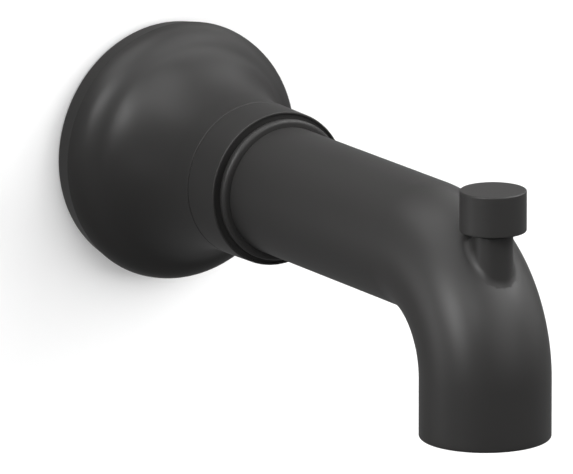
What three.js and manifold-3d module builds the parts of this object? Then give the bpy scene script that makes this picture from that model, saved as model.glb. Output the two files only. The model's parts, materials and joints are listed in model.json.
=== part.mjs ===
// Wall mounted bath spout with a pull-up diverter knob.
//
// Millimetres, +Z up. The origin is the centre of the escutcheon's back face, on the wall. The spout's tube
// runs along -Y, so a distance from the wall is called "out" and lies at y = -out.
import * as THREE from "three";
import { mergeVertices } from "three/addons/utils/BufferGeometryUtils.js";
import Module from "manifold-3d";

const wasm = await Module();
wasm.setup();

// ---- Driving dimensions -------------------------------------------------------------------------------

// General fits
const GAP = 0.3; // between two pieces that seat on or in each other
const SLIDE_GAP = 0.15; // round the lift rod, which slides and turns
const FLUSH_GAP = 0.05; // how far the gasket and the bushing sit below the face they are flush with
const CUT_PAST = 1; // how far a cutter runs past the face it opens

// Smoothness
const FINE = 40; // sides of the large outer rounds
const MEDIUM = 24; // sides of rings and inner bodies
const COARSE = 16; // sides of small pins, screws and tubes

// Escutcheon bell
const BELL_RIM_BACK_RADIUS = 43.15;
const BELL_RIM_FRONT_RADIUS = 44.65;
const BELL_RIM_DEPTH = 8.2;
const BELL_WALL = 2.2;
const BELL_LENGTH = 56.5;
const BELL_NECK_LENGTH = 5.8; // the straight end
const BELL_TURN_OUT = 17.9; // where the dome's outward curve turns into the hollow one
const BELL_TURN_SHARE = 0.645; // of the way from the neck's radius to the rim's
const BELL_TURN_SLOPE = 64; // degrees from the axis
const BELL_DOME_SLOPE = 5; // degrees from the axis, at the rim
const BELL_DOME_PULLS = [0.35, 0.45]; // handles of the dome's curve, as shares of its chord
const BELL_HOLLOW_PULLS = [0.2, 0.385]; // handles of the hollow curve, as shares of its chord
const BELL_SWEEP_STEPS = 6; // in each of the two curves

// Wall gasket, in a groove in the bell's foot
const GASKET_INSET = 2.3; // from the rim's back edge
const GASKET_WIDTH = 3;
const GASKET_DEPTH = 2.4;
const BELL_FOOT_INNER_LAND = 1.4; // inside the gasket
const BELL_FOOT_DEPTH = 5;

// Spout body
const REACH = 201.1; // wall to the outlet's axis
const OUTLET_RADIUS = 22.25;
const OUTLET_DROP = 58.15; // tube axis to the outlet's lip
const BEND_RADIUS = 38; // of the centre line
const TUBE_TAPER = 0.3; // how much thinner the tube is at the collar
const BODY_WALL = 2.5;
const SPIGOT_STEP = 0.95; // from the tube down to the spigot that the collar sits on
const SPIGOT_INTO_BELL = 4.8;
const BEND_STEPS = 10;

// Collar and bead, which stand proud of the tube
const BELL_NECK_PROUD = 4.8;
const COLLAR_PROUD = 4.6;
const COLLAR_LENGTH = 15.4;
const COLLAR_EDGE_ROUND = 0.5;
const COLLAR_LIP = 0.75; // wall of its front end, round the recess that the bead sits in
const COLLAR_RECESS_DEPTH = 0.8;
const COLLAR_STUB_LENGTH = 7; // the part that centres the bell
const BEAD_PROUD = 2.45;
const BEAD_WIDTH = 3.1;
const BEAD_ROUND = 1.3;

// Collar set screw
const SET_SCREW_RADIUS = 2.5;
const SET_SCREW_SOCKET_RADIUS = 1.44; // over the corners of the hexagon
const SET_SCREW_SOCKET_DEPTH = 2;

// Inlet adapter
const ADAPTER_BACK = 14; // out
const ADAPTER_PAST_COLLAR = 8; // how far its nose reaches into the tube
const ADAPTER_HEX_RADIUS = 15.6; // over the corners
const ADAPTER_FLANGE_STEP = 0.5;
const ADAPTER_FLANGE_WIDTH = 4.2;
const PIPE_SOCKET_RADIUS = 9.6;
const PIPE_SOCKET_DEPTH = 26;
const PIPE_SEAL_WIDTH = 2.2;
const PIPE_SEAL_INNER_RADIUS = 5.2;
const ADAPTER_ORING_FROM_NOSE = 12;
const ADAPTER_ORING_SPACING = 8;
const ADAPTER_ORING_ROUND = 1.3; // radius of the section

// Waterway
const WATERWAY_RADIUS = 6;
const WATERWAY_WALL = 1.4;
const WATERWAY_SOCKET_DEPTH = 9;
const WATERWAY_SHOULDER = 1.4; // behind the tube's end in the housing's socket
const WATERWAY_ORING_ROUND = 0.8;
const WATERWAY_DROP_LEAD = 10; // before the bend
const WATERWAY_EASE = 0.4; // share of the drop's length that each end stays nearly level
const WATERWAY_STEPS = 18;

// Diverter. "Ahead" and "behind" are from the lift rod's axis.
const ROD_AHEAD = 4.6; // of the outlet's axis
const LIFT_TRAVEL = 10;
const PORT_RADIUS = 4.4;
const HOUSING_WIDTH = 16.4;
const HOUSING_WALL = 2.2;
const HOUSING_BEHIND = 10.3;
const HOUSING_AHEAD = 5.2;
const HOUSING_BELOW_BORE = 0.9;
const HOUSING_ROUND = 2.5;
const STUB_WALL = 1.2;
const CAP_THICKNESS = 2.2;
const CARRIER_HEIGHT = 11.4;
const CARRIER_AHEAD = 2.7;
const GATE_WASHER_RADIUS = 5.4;
const GATE_WASHER_THICKNESS = 2.4;
const GATE_SCREW_HEAD_RADIUS = 2.3;
const GATE_SCREW_HEAD_HEIGHT = 1.1;
const GATE_SCREW_SHANK_RADIUS = 1.1;
const GATE_SCREW_LENGTH = 3.6;

// Lift rod and what is on it
const ROD_RADIUS = 1.6;
const ROD_FOOT_STEP = 0.6; // from the rod out to its foot
const ROD_FOOT_HEIGHT = 1.6;
const ROD_FOOT_COVER = 3; // carrier above the foot
const CLIP_WIDTH = 1.85;
const CLIP_THICKNESS = 0.8;
const CLIP_ABOVE_HOUSING = 0.9;
const SPRING_ROUND_ROD = 0.9; // between the rod and the wire
const SPRING_WIRE_RADIUS = 0.35;
const SPRING_TURNS = 4;
const SPRING_SPARE = 1; // left between the turns when the knob is up

// Boss, bushing and knob
const BOSS_RADIUS = 6.75;
const BOSS_WALL = 2.25;
const BUSHING_POCKET_DEPTH = 2.6;
const STEM_SEAL_ROUND = 0.55;
const RETAINER_THICKNESS = 0.6;
const KNOB_RADIUS = 11.25;
const KNOB_HEIGHT = 13.98;
const KNOB_EDGE_ROUND = 0.5;
const KNOB_ABOVE_BEND = 0.425; // at the knob's back edge, before that edge is rounded
const KNOB_TO_BOSS = 1.1;
const INSERT_WALL = 1.25;
const INSERT_HEIGHT = 9;
const INSERT_INSET = 0.6; // above the knob's underside
const INSERT_CAP = 2.2; // over the rod's end

// Outlet insert
const MOUTH_DEPTH = 5.4; // the open mouth below the insert
const OUTLET_RING_HEIGHT = 10;
const OUTLET_RING_WALL = 2.7;
const OUTLET_RING_LIP = 1.2;
const OUTLET_ORING_FROM_TOP = 3.6;
const OUTLET_ORING_ROUND = 0.75;
const VANE_COUNT = 6;
const VANE_THICKNESS = 1.2;
const VANE_BELOW_RING_TOP = 1.2;
const VANE_HUB_RADIUS = 2.5;
const VANE_MIDDLE_RADIUS = 9.7;

// ---- Dimensions that follow ---------------------------------------------------------------------------

// The height of the bend's round inner or outer surface, of a given radius, beside its middle plane.
function bendHeight(radius, out, side) {
  const half = Math.sqrt(radius ** 2 - side ** 2);
  return Math.sqrt((BEND_RADIUS + half) ** 2 - (out - bendStart) ** 2) - BEND_RADIUS;
}

const bendStart = REACH - BEND_RADIUS;
const boreRadius = OUTLET_RADIUS - BODY_WALL;
const tubeBackRadius = OUTLET_RADIUS - TUBE_TAPER;
const spigotRadius = tubeBackRadius - SPIGOT_STEP;
const spigotBore = spigotRadius - BODY_WALL;
const bellNeckRadius = tubeBackRadius + BELL_NECK_PROUD;
const collarFrontRadius = tubeBackRadius + COLLAR_PROUD;
const beadRadius = tubeBackRadius + BEAD_PROUD;
const gasketOuterRadius = BELL_RIM_BACK_RADIUS - GASKET_INSET;
const gasketInnerRadius = gasketOuterRadius - GASKET_WIDTH;

const collarBack = BELL_LENGTH + GAP;
const collarFront = collarBack + COLLAR_LENGTH;
const setScrewOut = (collarBack + collarFront) / 2;
const beadBack = collarFront + GAP;
const tubeBack = beadBack + BEAD_WIDTH + GAP;
const spigotBack = collarBack - SPIGOT_INTO_BELL;
const ringBore = spigotRadius + GAP; // of the collar and the bead

const adapterNose = collarFront + ADAPTER_PAST_COLLAR;
const adapterRadius = spigotBore - GAP;
const flangeFront = spigotBack - GAP;
const pipeStop = ADAPTER_BACK + PIPE_SOCKET_DEPTH;
const oringFrontOut = adapterNose - ADAPTER_ORING_FROM_NOSE;
const oringRearOut = oringFrontOut - ADAPTER_ORING_SPACING;

const rodOut = REACH + ROD_AHEAD;
const housingBack = rodOut - HOUSING_BEHIND;
const housingFront = rodOut + HOUSING_AHEAD;
const housingTop = bendHeight(boreRadius, housingFront, HOUSING_WIDTH / 2) - HOUSING_BELOW_BORE;
const chamberHalf = HOUSING_WIDTH / 2 - HOUSING_WALL;
const chamberBack = housingBack + HOUSING_WALL;
const chamberTop = housingTop - HOUSING_WALL;
const portHeight = chamberTop - GAP - CARRIER_HEIGHT / 2; // the gate covers it when it is up
const carrierFront = rodOut + CARRIER_AHEAD;
const carrierCentre = portHeight - LIFT_TRAVEL;
const carrierTop = carrierCentre + CARRIER_HEIGHT / 2;
const carrierBottom = carrierCentre - CARRIER_HEIGHT / 2;
const chamberFront = carrierFront + GAP;
const capTop = carrierBottom - 2 * GAP;
const housingBottom = capTop - CAP_THICKNESS;
const washerBack = chamberBack + GAP;
const washerFront = washerBack + GATE_WASHER_THICKNESS;
const carrierBack = washerFront + GAP;

const waterwayBore = WATERWAY_RADIUS - WATERWAY_WALL;
const waterwaySocket = WATERWAY_RADIUS + GAP;
const waterwayBack = adapterNose - WATERWAY_SOCKET_DEPTH + GAP;
const stubBack = housingBack - WATERWAY_SOCKET_DEPTH - WATERWAY_SHOULDER;
const waterwayFront = stubBack + WATERWAY_SOCKET_DEPTH - GAP;
const sealPocketDepth = 2 * WATERWAY_ORING_ROUND + 2 * GAP;
const sealPocketRadius = waterwaySocket + 2 * WATERWAY_ORING_ROUND + GAP;
const stubRadius = sealPocketRadius + STUB_WALL;

const rodHole = ROD_RADIUS + SLIDE_GAP;
const footRadius = ROD_RADIUS + ROD_FOOT_STEP;
const footTop = carrierTop - ROD_FOOT_COVER;
const footBottom = footTop - ROD_FOOT_HEIGHT;
const clipBottom = housingTop + CLIP_ABOVE_HOUSING;
const clipTop = clipBottom + CLIP_THICKNESS;
const springRadius = ROD_RADIUS + SPRING_ROUND_ROD + SPRING_WIRE_RADIUS; // to the middle of the wire
const springBottom = clipTop + GAP;
const springTop = springBottom + LIFT_TRAVEL + 2 * SPRING_TURNS * SPRING_WIRE_RADIUS + SPRING_SPARE;

const knobBottom = bendHeight(OUTLET_RADIUS, rodOut - KNOB_RADIUS, 0) + KNOB_ABOVE_BEND;
const knobTop = knobBottom + KNOB_HEIGHT;
const bossTop = knobBottom - KNOB_TO_BOSS;
const bossBore = BOSS_RADIUS - BOSS_WALL;
const bushingTop = bossTop - FLUSH_GAP;
const retainerBottom = springTop + GAP;
const bushingBottom = retainerBottom - FLUSH_GAP;
const bushingPocket = rodHole + 2 * STEM_SEAL_ROUND + GAP;
const insertRadius = rodHole + INSERT_WALL;
const insertBottom = knobBottom + INSERT_INSET;
const insertTop = insertBottom + INSERT_HEIGHT;
const rodTop = insertTop - INSERT_CAP;

const insertRingBottom = -OUTLET_DROP + MOUTH_DEPTH;
const insertRingTop = insertRingBottom + OUTLET_RING_HEIGHT;
const insertRingRadius = boreRadius - GAP;
const insertRingBore = insertRingRadius - OUTLET_RING_WALL;
const outletOringHeight = insertRingTop - OUTLET_ORING_FROM_TOP;
const vaneRadius = insertRingBore - GAP;
const vaneBottom = insertRingBottom + OUTLET_RING_LIP + GAP;
const vaneTop = insertRingTop - VANE_BELOW_RING_TOP;

// ---- Materials ----------------------------------------------------------------------------------------

const matt = (color, roughness, metalness) => () =>
  new THREE.MeshStandardMaterial({ color, roughness, metalness });

const mattBlack = matt(0x35363a, 0.45, 0.3);
const brass = matt(0xb08d4c, 0.35, 1);
const steel = matt(0xa8abae, 0.3, 1);
const rubber = matt(0x1a1a1a, 0.85, 0);
const foam = matt(0x4a4a4a, 0.95, 0);
const whitePlastic = matt(0xdcdcd6, 0.5, 0);
const greyPlastic = matt(0x8f9494, 0.5, 0);

// ---- Helpers ------------------------------------------------------------------------------------------

// A closed three.js geometry as a manifold solid.
function solidOf(geometry) {
  const bare = geometry.clone();
  bare.deleteAttribute("normal");
  bare.deleteAttribute("uv");
  const merged = mergeVertices(bare, 1e-4);
  return new wasm.Manifold(
    new wasm.Mesh({
      numProp: 3,
      vertProperties: new Float32Array(merged.attributes.position.array),
      triVerts: new Uint32Array(merged.index.array),
    }),
  );
}

// A manifold solid as a three.js geometry.
function geometryOf(solid) {
  const mesh = solid.getMesh();
  const geometry = new THREE.BufferGeometry();
  geometry.setAttribute("position", new THREE.BufferAttribute(mesh.vertProperties, 3));
  geometry.setIndex(new THREE.BufferAttribute(mesh.triVerts, 1));
  const flat = geometry.toNonIndexed();
  flat.computeVertexNormals();
  return flat;
}

function joined(...geometries) {
  return geometryOf(geometries.map(solidOf).reduce((a, b) => a.add(b)));
}

function cut(geometry, ...cutters) {
  return geometryOf(cutters.map(solidOf).reduce((a, b) => a.subtract(b), solidOf(geometry)));
}

// A turned piece about the Y axis, from [radius, height] points in either order round the outline.
function turned(points, sides) {
  const outline = points.map(([radius, height]) => new THREE.Vector2(radius, height));
  const onAxis = points[0][0] === 0 && points.at(-1)[0] === 0;
  if (!onAxis) outline.push(outline[0].clone());
  if (THREE.ShapeUtils.area(outline) < 0) outline.reverse();
  return new THREE.LatheGeometry(outline, sides);
}

// A turned piece on the spout's axis, from [radius, out] points.
function turnedOut(points, sides) {
  return turned(points.map(([radius, out]) => [radius, -out]), sides);
}

// A turned piece on the vertical axis, from [radius, z] points.
function turnedUp(points, sides) {
  return turned(points, sides).rotateX(Math.PI / 2);
}

// A plain ring's outline between two radii and two heights.
function ringOutline(inner, outer, low, high) {
  return [[inner, low], [outer, low], [outer, high], [inner, high]];
}

// A plain disc's outline.
function discOutline(radius, low, high) {
  return [[0, low], [radius, low], [radius, high], [0, high]];
}

// Points of an arc about a centre, from one angle to another, in degrees.
function arc(centreRadius, centreHeight, round, from, to, steps) {
  return Array.from({ length: steps + 1 }, (_, i) => {
    const angle = THREE.MathUtils.degToRad(from + ((to - from) * i) / steps);
    return [centreRadius + round * Math.cos(angle), centreHeight + round * Math.sin(angle)];
  });
}

// The outline of an O-ring's section.
function oringOutline(middleRadius, height, round) {
  return arc(middleRadius, height, round, 0, 315, 7);
}

// A box across the middle plane, between two [out, z] corners.
function box(width, low, high) {
  const [backOut, bottom] = low;
  const [frontOut, top] = high;
  const geometry = new THREE.BoxGeometry(width, frontOut - backOut, top - bottom);
  return geometry.translate(0, -(backOut + frontOut) / 2, (bottom + top) / 2);
}

// Moves a piece from the origin's vertical axis to the lift rod's axis, or to the outlet's axis.
const onLiftAxis = (geometry) => geometry.translate(0, -rodOut, 0);
const onOutletAxis = (geometry) => geometry.translate(0, -REACH, 0);

// Moves a piece from the spout's axis to the port's axis, or to the gate's.
const onPortAxis = (geometry) => geometry.translate(0, 0, portHeight);
const onGateAxis = (geometry) => geometry.translate(0, 0, carrierCentre);

function part(name, geometry, material) {
  const mesh = new THREE.Mesh(geometry, material());
  mesh.name = name;
  return mesh;
}

// ---- Wall side ----------------------------------------------------------------------------------------

// A curve between two (radius, out) points that leaves the one and reaches the other at given slopes towards
// the axis, in degrees.
function slopedCurve(start, startSlope, end, endSlope, [startPull, endPull]) {
  const along = (degrees) => {
    const angle = THREE.MathUtils.degToRad(degrees);
    return new THREE.Vector2(-Math.sin(angle), Math.cos(angle));
  };
  const chord = start.distanceTo(end);
  return new THREE.CubicBezierCurve(
    start,
    start.clone().addScaledVector(along(startSlope), startPull * chord),
    end.clone().addScaledVector(along(endSlope), -endPull * chord),
    end,
  );
}

// The bell's outline from the rim's front edge to the start of its neck, as [radius, out] points: a dome
// and a hollow sweep, which meet at the same slope.
function bellSweep() {
  const turnRadius = bellNeckRadius + BELL_TURN_SHARE * (BELL_RIM_FRONT_RADIUS - bellNeckRadius);
  const neckStart = BELL_LENGTH - BELL_NECK_LENGTH;
  const rim = new THREE.Vector2(BELL_RIM_FRONT_RADIUS, BELL_RIM_DEPTH);
  const turn = new THREE.Vector2(turnRadius, BELL_TURN_OUT);
  const neck = new THREE.Vector2(bellNeckRadius, neckStart);
  const dome = slopedCurve(rim, BELL_DOME_SLOPE, turn, BELL_TURN_SLOPE, BELL_DOME_PULLS);
  const hollow = slopedCurve(turn, BELL_TURN_SLOPE, neck, 0, BELL_HOLLOW_PULLS);
  const points = [...dome.getPoints(BELL_SWEEP_STEPS), ...hollow.getPoints(BELL_SWEEP_STEPS).slice(1)];
  return points.map((point) => [point.x, point.y]);
}

// An open outline of [radius, out] points moved towards the axis, square to itself.
function movedIn(points, distance) {
  return points.map(([radius, out], i) => {
    const [radiusBefore, outBefore] = points[Math.max(i - 1, 0)];
    const [radiusAfter, outAfter] = points[Math.min(i + 1, points.length - 1)];
    const length = Math.hypot(radiusAfter - radiusBefore, outAfter - outBefore);
    return [
      radius - ((outAfter - outBefore) / length) * distance,
      out + ((radiusAfter - radiusBefore) / length) * distance,
    ];
  });
}

function escutcheonBell() {
  const sweep = bellSweep();
  const neckBore = bellNeckRadius - BELL_WALL;
  const grooveInner = gasketInnerRadius - GAP;
  const grooveOuter = gasketOuterRadius + GAP;
  const grooveDepth = FLUSH_GAP + GASKET_DEPTH + GAP;
  const footInner = grooveInner - BELL_FOOT_INNER_LAND;
  return turnedOut(
    [
      [BELL_RIM_BACK_RADIUS, 0],
      ...sweep,
      [bellNeckRadius, BELL_LENGTH],
      [neckBore, BELL_LENGTH],
      ...movedIn(sweep, BELL_WALL).reverse(),
      [BELL_RIM_BACK_RADIUS - BELL_WALL, BELL_FOOT_DEPTH],
      [footInner, BELL_FOOT_DEPTH],
      [footInner, 0],
      [grooveInner, 0],
      [grooveInner, grooveDepth],
      [grooveOuter, grooveDepth],
      [grooveOuter, 0],
    ],
    FINE,
  );
}

function wallGasket() {
  return turnedOut(
    ringOutline(gasketInnerRadius, gasketOuterRadius, FLUSH_GAP, FLUSH_GAP + GASKET_DEPTH),
    FINE,
  );
}

function collarRing() {
  const centring = bellNeckRadius - BELL_WALL - GAP;
  const round = COLLAR_EDGE_ROUND;
  const recessRadius = collarFrontRadius - COLLAR_LIP;
  const ring = turnedOut(
    [
      [ringBore, collarBack - COLLAR_STUB_LENGTH],
      [centring, collarBack - COLLAR_STUB_LENGTH],
      [centring, collarBack],
      [bellNeckRadius, collarBack],
      ...arc(collarFrontRadius - round, collarFront - round, round, 0, 90, 4),
      [recessRadius, collarFront],
      [recessRadius, collarFront - COLLAR_RECESS_DEPTH],
      [ringBore, collarFront - COLLAR_RECESS_DEPTH],
    ],
    FINE,
  );
  const hole = turnedUp(
    discOutline(SET_SCREW_RADIUS + GAP, -bellNeckRadius - CUT_PAST, -spigotRadius + CUT_PAST),
    COARSE,
  );
  return cut(ring, hole.translate(0, -setScrewOut, 0));
}

function collarSetScrew() {
  const outerEnd = -collarFrontRadius + GAP;
  const body = turnedUp(discOutline(SET_SCREW_RADIUS, outerEnd, -spigotRadius - GAP), COARSE);
  const socket = turnedUp(
    discOutline(SET_SCREW_SOCKET_RADIUS, outerEnd - CUT_PAST, outerEnd + SET_SCREW_SOCKET_DEPTH),
    6,
  );
  return cut(body, socket).translate(0, -setScrewOut, 0);
}

function beadRing() {
  const front = beadBack + BEAD_WIDTH;
  const centre = beadRadius - BEAD_ROUND;
  return turnedOut(
    [
      [ringBore, beadBack],
      ...arc(centre, beadBack + BEAD_ROUND, BEAD_ROUND, -90, 0, 3),
      ...arc(centre, front - BEAD_ROUND, BEAD_ROUND, 0, 90, 3),
      [ringBore, front],
    ],
    FINE,
  );
}

// ---- Inlet --------------------------------------------------------------------------------------------

function adapterGroove(out) {
  const halfWidth = ADAPTER_ORING_ROUND + GAP;
  const floor = spigotBore - 2 * ADAPTER_ORING_ROUND - 2 * GAP;
  return [
    [adapterRadius, out - halfWidth],
    [floor, out - halfWidth],
    [floor, out + halfWidth],
    [adapterRadius, out + halfWidth],
  ];
}

function inletAdapter() {
  const flangeBack = flangeFront - ADAPTER_FLANGE_WIDTH;
  const flangeRadius = spigotRadius - ADAPTER_FLANGE_STEP;
  const barrel = turnedOut(
    [
      [0, flangeBack],
      [flangeRadius, flangeBack],
      [flangeRadius, flangeFront],
      [adapterRadius, flangeFront],
      ...adapterGroove(oringRearOut),
      ...adapterGroove(oringFrontOut),
      [adapterRadius, adapterNose],
      [0, adapterNose],
    ],
    MEDIUM,
  );
  const hexagon = turnedOut(discOutline(ADAPTER_HEX_RADIUS, ADAPTER_BACK, flangeBack + GAP), 6);
  const passage = turnedOut(
    [
      [0, ADAPTER_BACK - CUT_PAST],
      [PIPE_SOCKET_RADIUS, ADAPTER_BACK - CUT_PAST],
      [PIPE_SOCKET_RADIUS, pipeStop],
      [waterwayBore, pipeStop],
      [waterwayBore, adapterNose - WATERWAY_SOCKET_DEPTH],
      [waterwaySocket, adapterNose - WATERWAY_SOCKET_DEPTH],
      [waterwaySocket, adapterNose - sealPocketDepth],
      [sealPocketRadius, adapterNose - sealPocketDepth],
      [sealPocketRadius, adapterNose + CUT_PAST],
      [0, adapterNose + CUT_PAST],
    ],
    MEDIUM,
  );
  return cut(joined(barrel, hexagon), passage);
}

function pipeSeal() {
  const front = pipeStop - GAP;
  return turnedOut(
    ringOutline(PIPE_SEAL_INNER_RADIUS, PIPE_SOCKET_RADIUS - GAP, front - PIPE_SEAL_WIDTH, front),
    MEDIUM,
  );
}

function adapterOring(out) {
  const middle = spigotBore - GAP - ADAPTER_ORING_ROUND;
  return turnedOut(oringOutline(middle, out, ADAPTER_ORING_ROUND), MEDIUM);
}

// ---- Spout body ---------------------------------------------------------------------------------------

// The centre line: a straight tube, a quarter bend and a straight leg. Each station of the sweep is one
// step of t, so the straight runs take one step each.
class SpoutLine extends THREE.Curve {
  constructor(start, end) {
    super();
    this.start = start;
    this.end = end;
  }

  getUtoTmapping(u) {
    return u;
  }

  getPoint(t) {
    const station = t * (BEND_STEPS + 2) - 1;
    if (station <= 0) {
      return new THREE.Vector3(0, -bendStart - station * (bendStart - this.start), 0);
    }
    if (station >= BEND_STEPS) {
      const down = (station - BEND_STEPS) * (this.end - BEND_RADIUS);
      return new THREE.Vector3(0, -REACH, -BEND_RADIUS - down);
    }
    const angle = (station / BEND_STEPS) * (Math.PI / 2);
    return new THREE.Vector3(
      0,
      -bendStart - BEND_RADIUS * Math.sin(angle),
      -BEND_RADIUS * (1 - Math.cos(angle)),
    );
  }
}

// A round sweep along the centre line, which narrows towards its start.
function sweep(radius, start, end, startRadius) {
  const section = new THREE.Shape();
  section.absarc(0, 0, radius, 0, 2 * Math.PI, false);
  const geometry = new THREE.ExtrudeGeometry(section, {
    extrudePath: new SpoutLine(start, end),
    steps: BEND_STEPS + 2,
    curveSegments: FINE / 2,
    bevelEnabled: false,
  });
  const position = geometry.attributes.position;
  for (let i = 0; i < position.count; i++) {
    if (-position.getY(i) < (start + bendStart) / 2) {
      const share = startRadius / radius;
      position.setX(i, position.getX(i) * share);
      position.setZ(i, position.getZ(i) * share);
    }
  }
  return geometry;
}

function spoutBody() {
  const outside = sweep(OUTLET_RADIUS, tubeBack, OUTLET_DROP, tubeBackRadius);
  const spigot = turnedOut(discOutline(spigotRadius, spigotBack, tubeBack + BODY_WALL), FINE);
  const boss = onLiftAxis(turnedUp(discOutline(BOSS_RADIUS, portHeight, bossTop), MEDIUM));
  const inside = sweep(boreRadius, adapterNose, OUTLET_DROP + CUT_PAST, tubeBackRadius - BODY_WALL);
  const inletBore = turnedOut(
    discOutline(spigotBore, spigotBack - CUT_PAST, adapterNose + CUT_PAST),
    FINE,
  );
  const stemBore = onLiftAxis(turnedUp(discOutline(bossBore, portHeight, bossTop + CUT_PAST), MEDIUM));
  return cut(joined(outside, spigot, boss), inside, inletBore, stemBore);
}

// ---- Waterway -----------------------------------------------------------------------------------------

// The tube's centre line: straight in both sockets, with a smooth drop between them.
function waterwayLine(back, front) {
  const dropStart = bendStart - WATERWAY_DROP_LEAD;
  const dropEnd = stubBack - GAP;
  const level = WATERWAY_EASE * (dropEnd - dropStart);
  const line = new THREE.CurvePath();
  const at = (out, z) => new THREE.Vector3(0, -out, z);
  line.add(new THREE.LineCurve3(at(back, 0), at(dropStart, 0)));
  line.add(
    new THREE.CubicBezierCurve3(
      at(dropStart, 0),
      at(dropStart + level, 0),
      at(dropEnd - level, portHeight),
      at(dropEnd, portHeight),
    ),
  );
  line.add(new THREE.LineCurve3(at(dropEnd, portHeight), at(front, portHeight)));
  return line;
}

function roundAlong(radius, line, steps, sides) {
  const section = new THREE.Shape();
  section.absarc(0, 0, radius, 0, 2 * Math.PI, false);
  return new THREE.ExtrudeGeometry(section, {
    extrudePath: line,
    steps,
    curveSegments: sides / 2,
    bevelEnabled: false,
  });
}

function waterwayTube() {
  const tube = roundAlong(WATERWAY_RADIUS, waterwayLine(waterwayBack, waterwayFront), WATERWAY_STEPS, COARSE);
  const bore = roundAlong(
    waterwayBore,
    waterwayLine(waterwayBack - CUT_PAST, waterwayFront + CUT_PAST),
    WATERWAY_STEPS,
    COARSE,
  );
  return cut(tube, bore);
}

function waterwayOring(out) {
  const middle = waterwaySocket + WATERWAY_ORING_ROUND;
  return turnedOut(oringOutline(middle, out, WATERWAY_ORING_ROUND), COARSE);
}

// ---- Diverter -----------------------------------------------------------------------------------------

function roundedBlock(width, back, front, bottom, top, round) {
  const half = width / 2 - round;
  const outline = new THREE.Shape();
  outline.absarc(half, -back - round, round, 0, Math.PI / 2, false);
  outline.absarc(-half, -back - round, round, Math.PI / 2, Math.PI, false);
  outline.absarc(-half, -front + round, round, Math.PI, 1.5 * Math.PI, false);
  outline.absarc(half, -front + round, round, 1.5 * Math.PI, 2 * Math.PI, false);
  const block = new THREE.ExtrudeGeometry(outline, {
    depth: top - bottom,
    curveSegments: 4,
    bevelEnabled: false,
  });
  return block.translate(0, 0, bottom);
}

function gateHousing() {
  const block = roundedBlock(
    HOUSING_WIDTH,
    housingBack,
    housingFront,
    housingBottom,
    housingTop,
    HOUSING_ROUND,
  );
  const stub = onPortAxis(turnedOut(discOutline(stubRadius, stubBack, housingBack + GAP), MEDIUM));
  const chamber = box(2 * chamberHalf, [chamberBack, housingBottom - CUT_PAST], [chamberFront, chamberTop]);
  const windowWidth = 2 * (chamberHalf - HOUSING_WALL);
  const frontWindow = box(
    windowWidth,
    [chamberFront - CUT_PAST, capTop],
    [housingFront + CUT_PAST, chamberTop],
  );
  const port = onPortAxis(
    turnedOut(
      [
        [0, stubBack - CUT_PAST],
        [sealPocketRadius, stubBack - CUT_PAST],
        [sealPocketRadius, stubBack + sealPocketDepth],
        [waterwaySocket, stubBack + sealPocketDepth],
        [waterwaySocket, stubBack + WATERWAY_SOCKET_DEPTH],
        [PORT_RADIUS, stubBack + WATERWAY_SOCKET_DEPTH],
        [PORT_RADIUS, chamberBack + CUT_PAST],
        [0, chamberBack + CUT_PAST],
      ],
      COARSE,
    ),
  );
  const rodPassage = onLiftAxis(
    turnedUp(discOutline(rodHole, chamberTop - CUT_PAST, housingTop + CUT_PAST), COARSE),
  );
  return cut(joined(block, stub), chamber, frontWindow, port, rodPassage);
}

function housingCap() {
  return box(
    2 * (chamberHalf - GAP),
    [chamberBack + GAP, housingBottom],
    [chamberFront - GAP, capTop],
  );
}

function gateCarrier() {
  const block = box(2 * (chamberHalf - GAP), [carrierBack, carrierBottom], [carrierFront, carrierTop]);
  const footPocket = footRadius + GAP;
  const shaft = onLiftAxis(turnedUp(discOutline(rodHole, footBottom, carrierTop + CUT_PAST), COARSE));
  const foot = onLiftAxis(turnedUp(discOutline(footPocket, footBottom - GAP, footTop + GAP), COARSE));
  const front = carrierFront + CUT_PAST;
  const shaftSlot = box(2 * rodHole, [rodOut, footBottom], [front, carrierTop + CUT_PAST]);
  const footSlot = box(2 * footPocket, [rodOut, footBottom - GAP], [front, footTop + GAP]);
  const screwHoleEnd = washerBack + GATE_SCREW_LENGTH + GAP;
  const screwHole = onGateAxis(
    turnedOut(
      discOutline(GATE_SCREW_SHANK_RADIUS + SLIDE_GAP, carrierBack - CUT_PAST, screwHoleEnd),
      COARSE,
    ),
  );
  return cut(block, shaft, foot, shaftSlot, footSlot, screwHole);
}

function gateWasher() {
  const disc = turnedOut(discOutline(GATE_WASHER_RADIUS, washerBack, washerFront), MEDIUM);
  const headPocket = turnedOut(
    [
      [0, washerBack - CUT_PAST],
      [GATE_SCREW_HEAD_RADIUS + SLIDE_GAP, washerBack - CUT_PAST],
      [GATE_SCREW_HEAD_RADIUS + SLIDE_GAP, washerBack + GATE_SCREW_HEAD_HEIGHT + GAP],
      [GATE_SCREW_SHANK_RADIUS + SLIDE_GAP, washerBack + GATE_SCREW_HEAD_HEIGHT + GAP],
      [GATE_SCREW_SHANK_RADIUS + SLIDE_GAP, washerFront + CUT_PAST],
      [0, washerFront + CUT_PAST],
    ],
    COARSE,
  );
  return onGateAxis(cut(disc, headPocket));
}

function gateScrew() {
  return onGateAxis(
    turnedOut(
      [
        [0, washerBack],
        [GATE_SCREW_HEAD_RADIUS, washerBack],
        [GATE_SCREW_HEAD_RADIUS, washerBack + GATE_SCREW_HEAD_HEIGHT],
        [GATE_SCREW_SHANK_RADIUS, washerBack + GATE_SCREW_HEAD_HEIGHT],
        [GATE_SCREW_SHANK_RADIUS, washerBack + GATE_SCREW_LENGTH],
        [0, washerBack + GATE_SCREW_LENGTH],
      ],
      COARSE,
    ),
  );
}

// ---- Lift rod, boss and knob --------------------------------------------------------------------------

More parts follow.
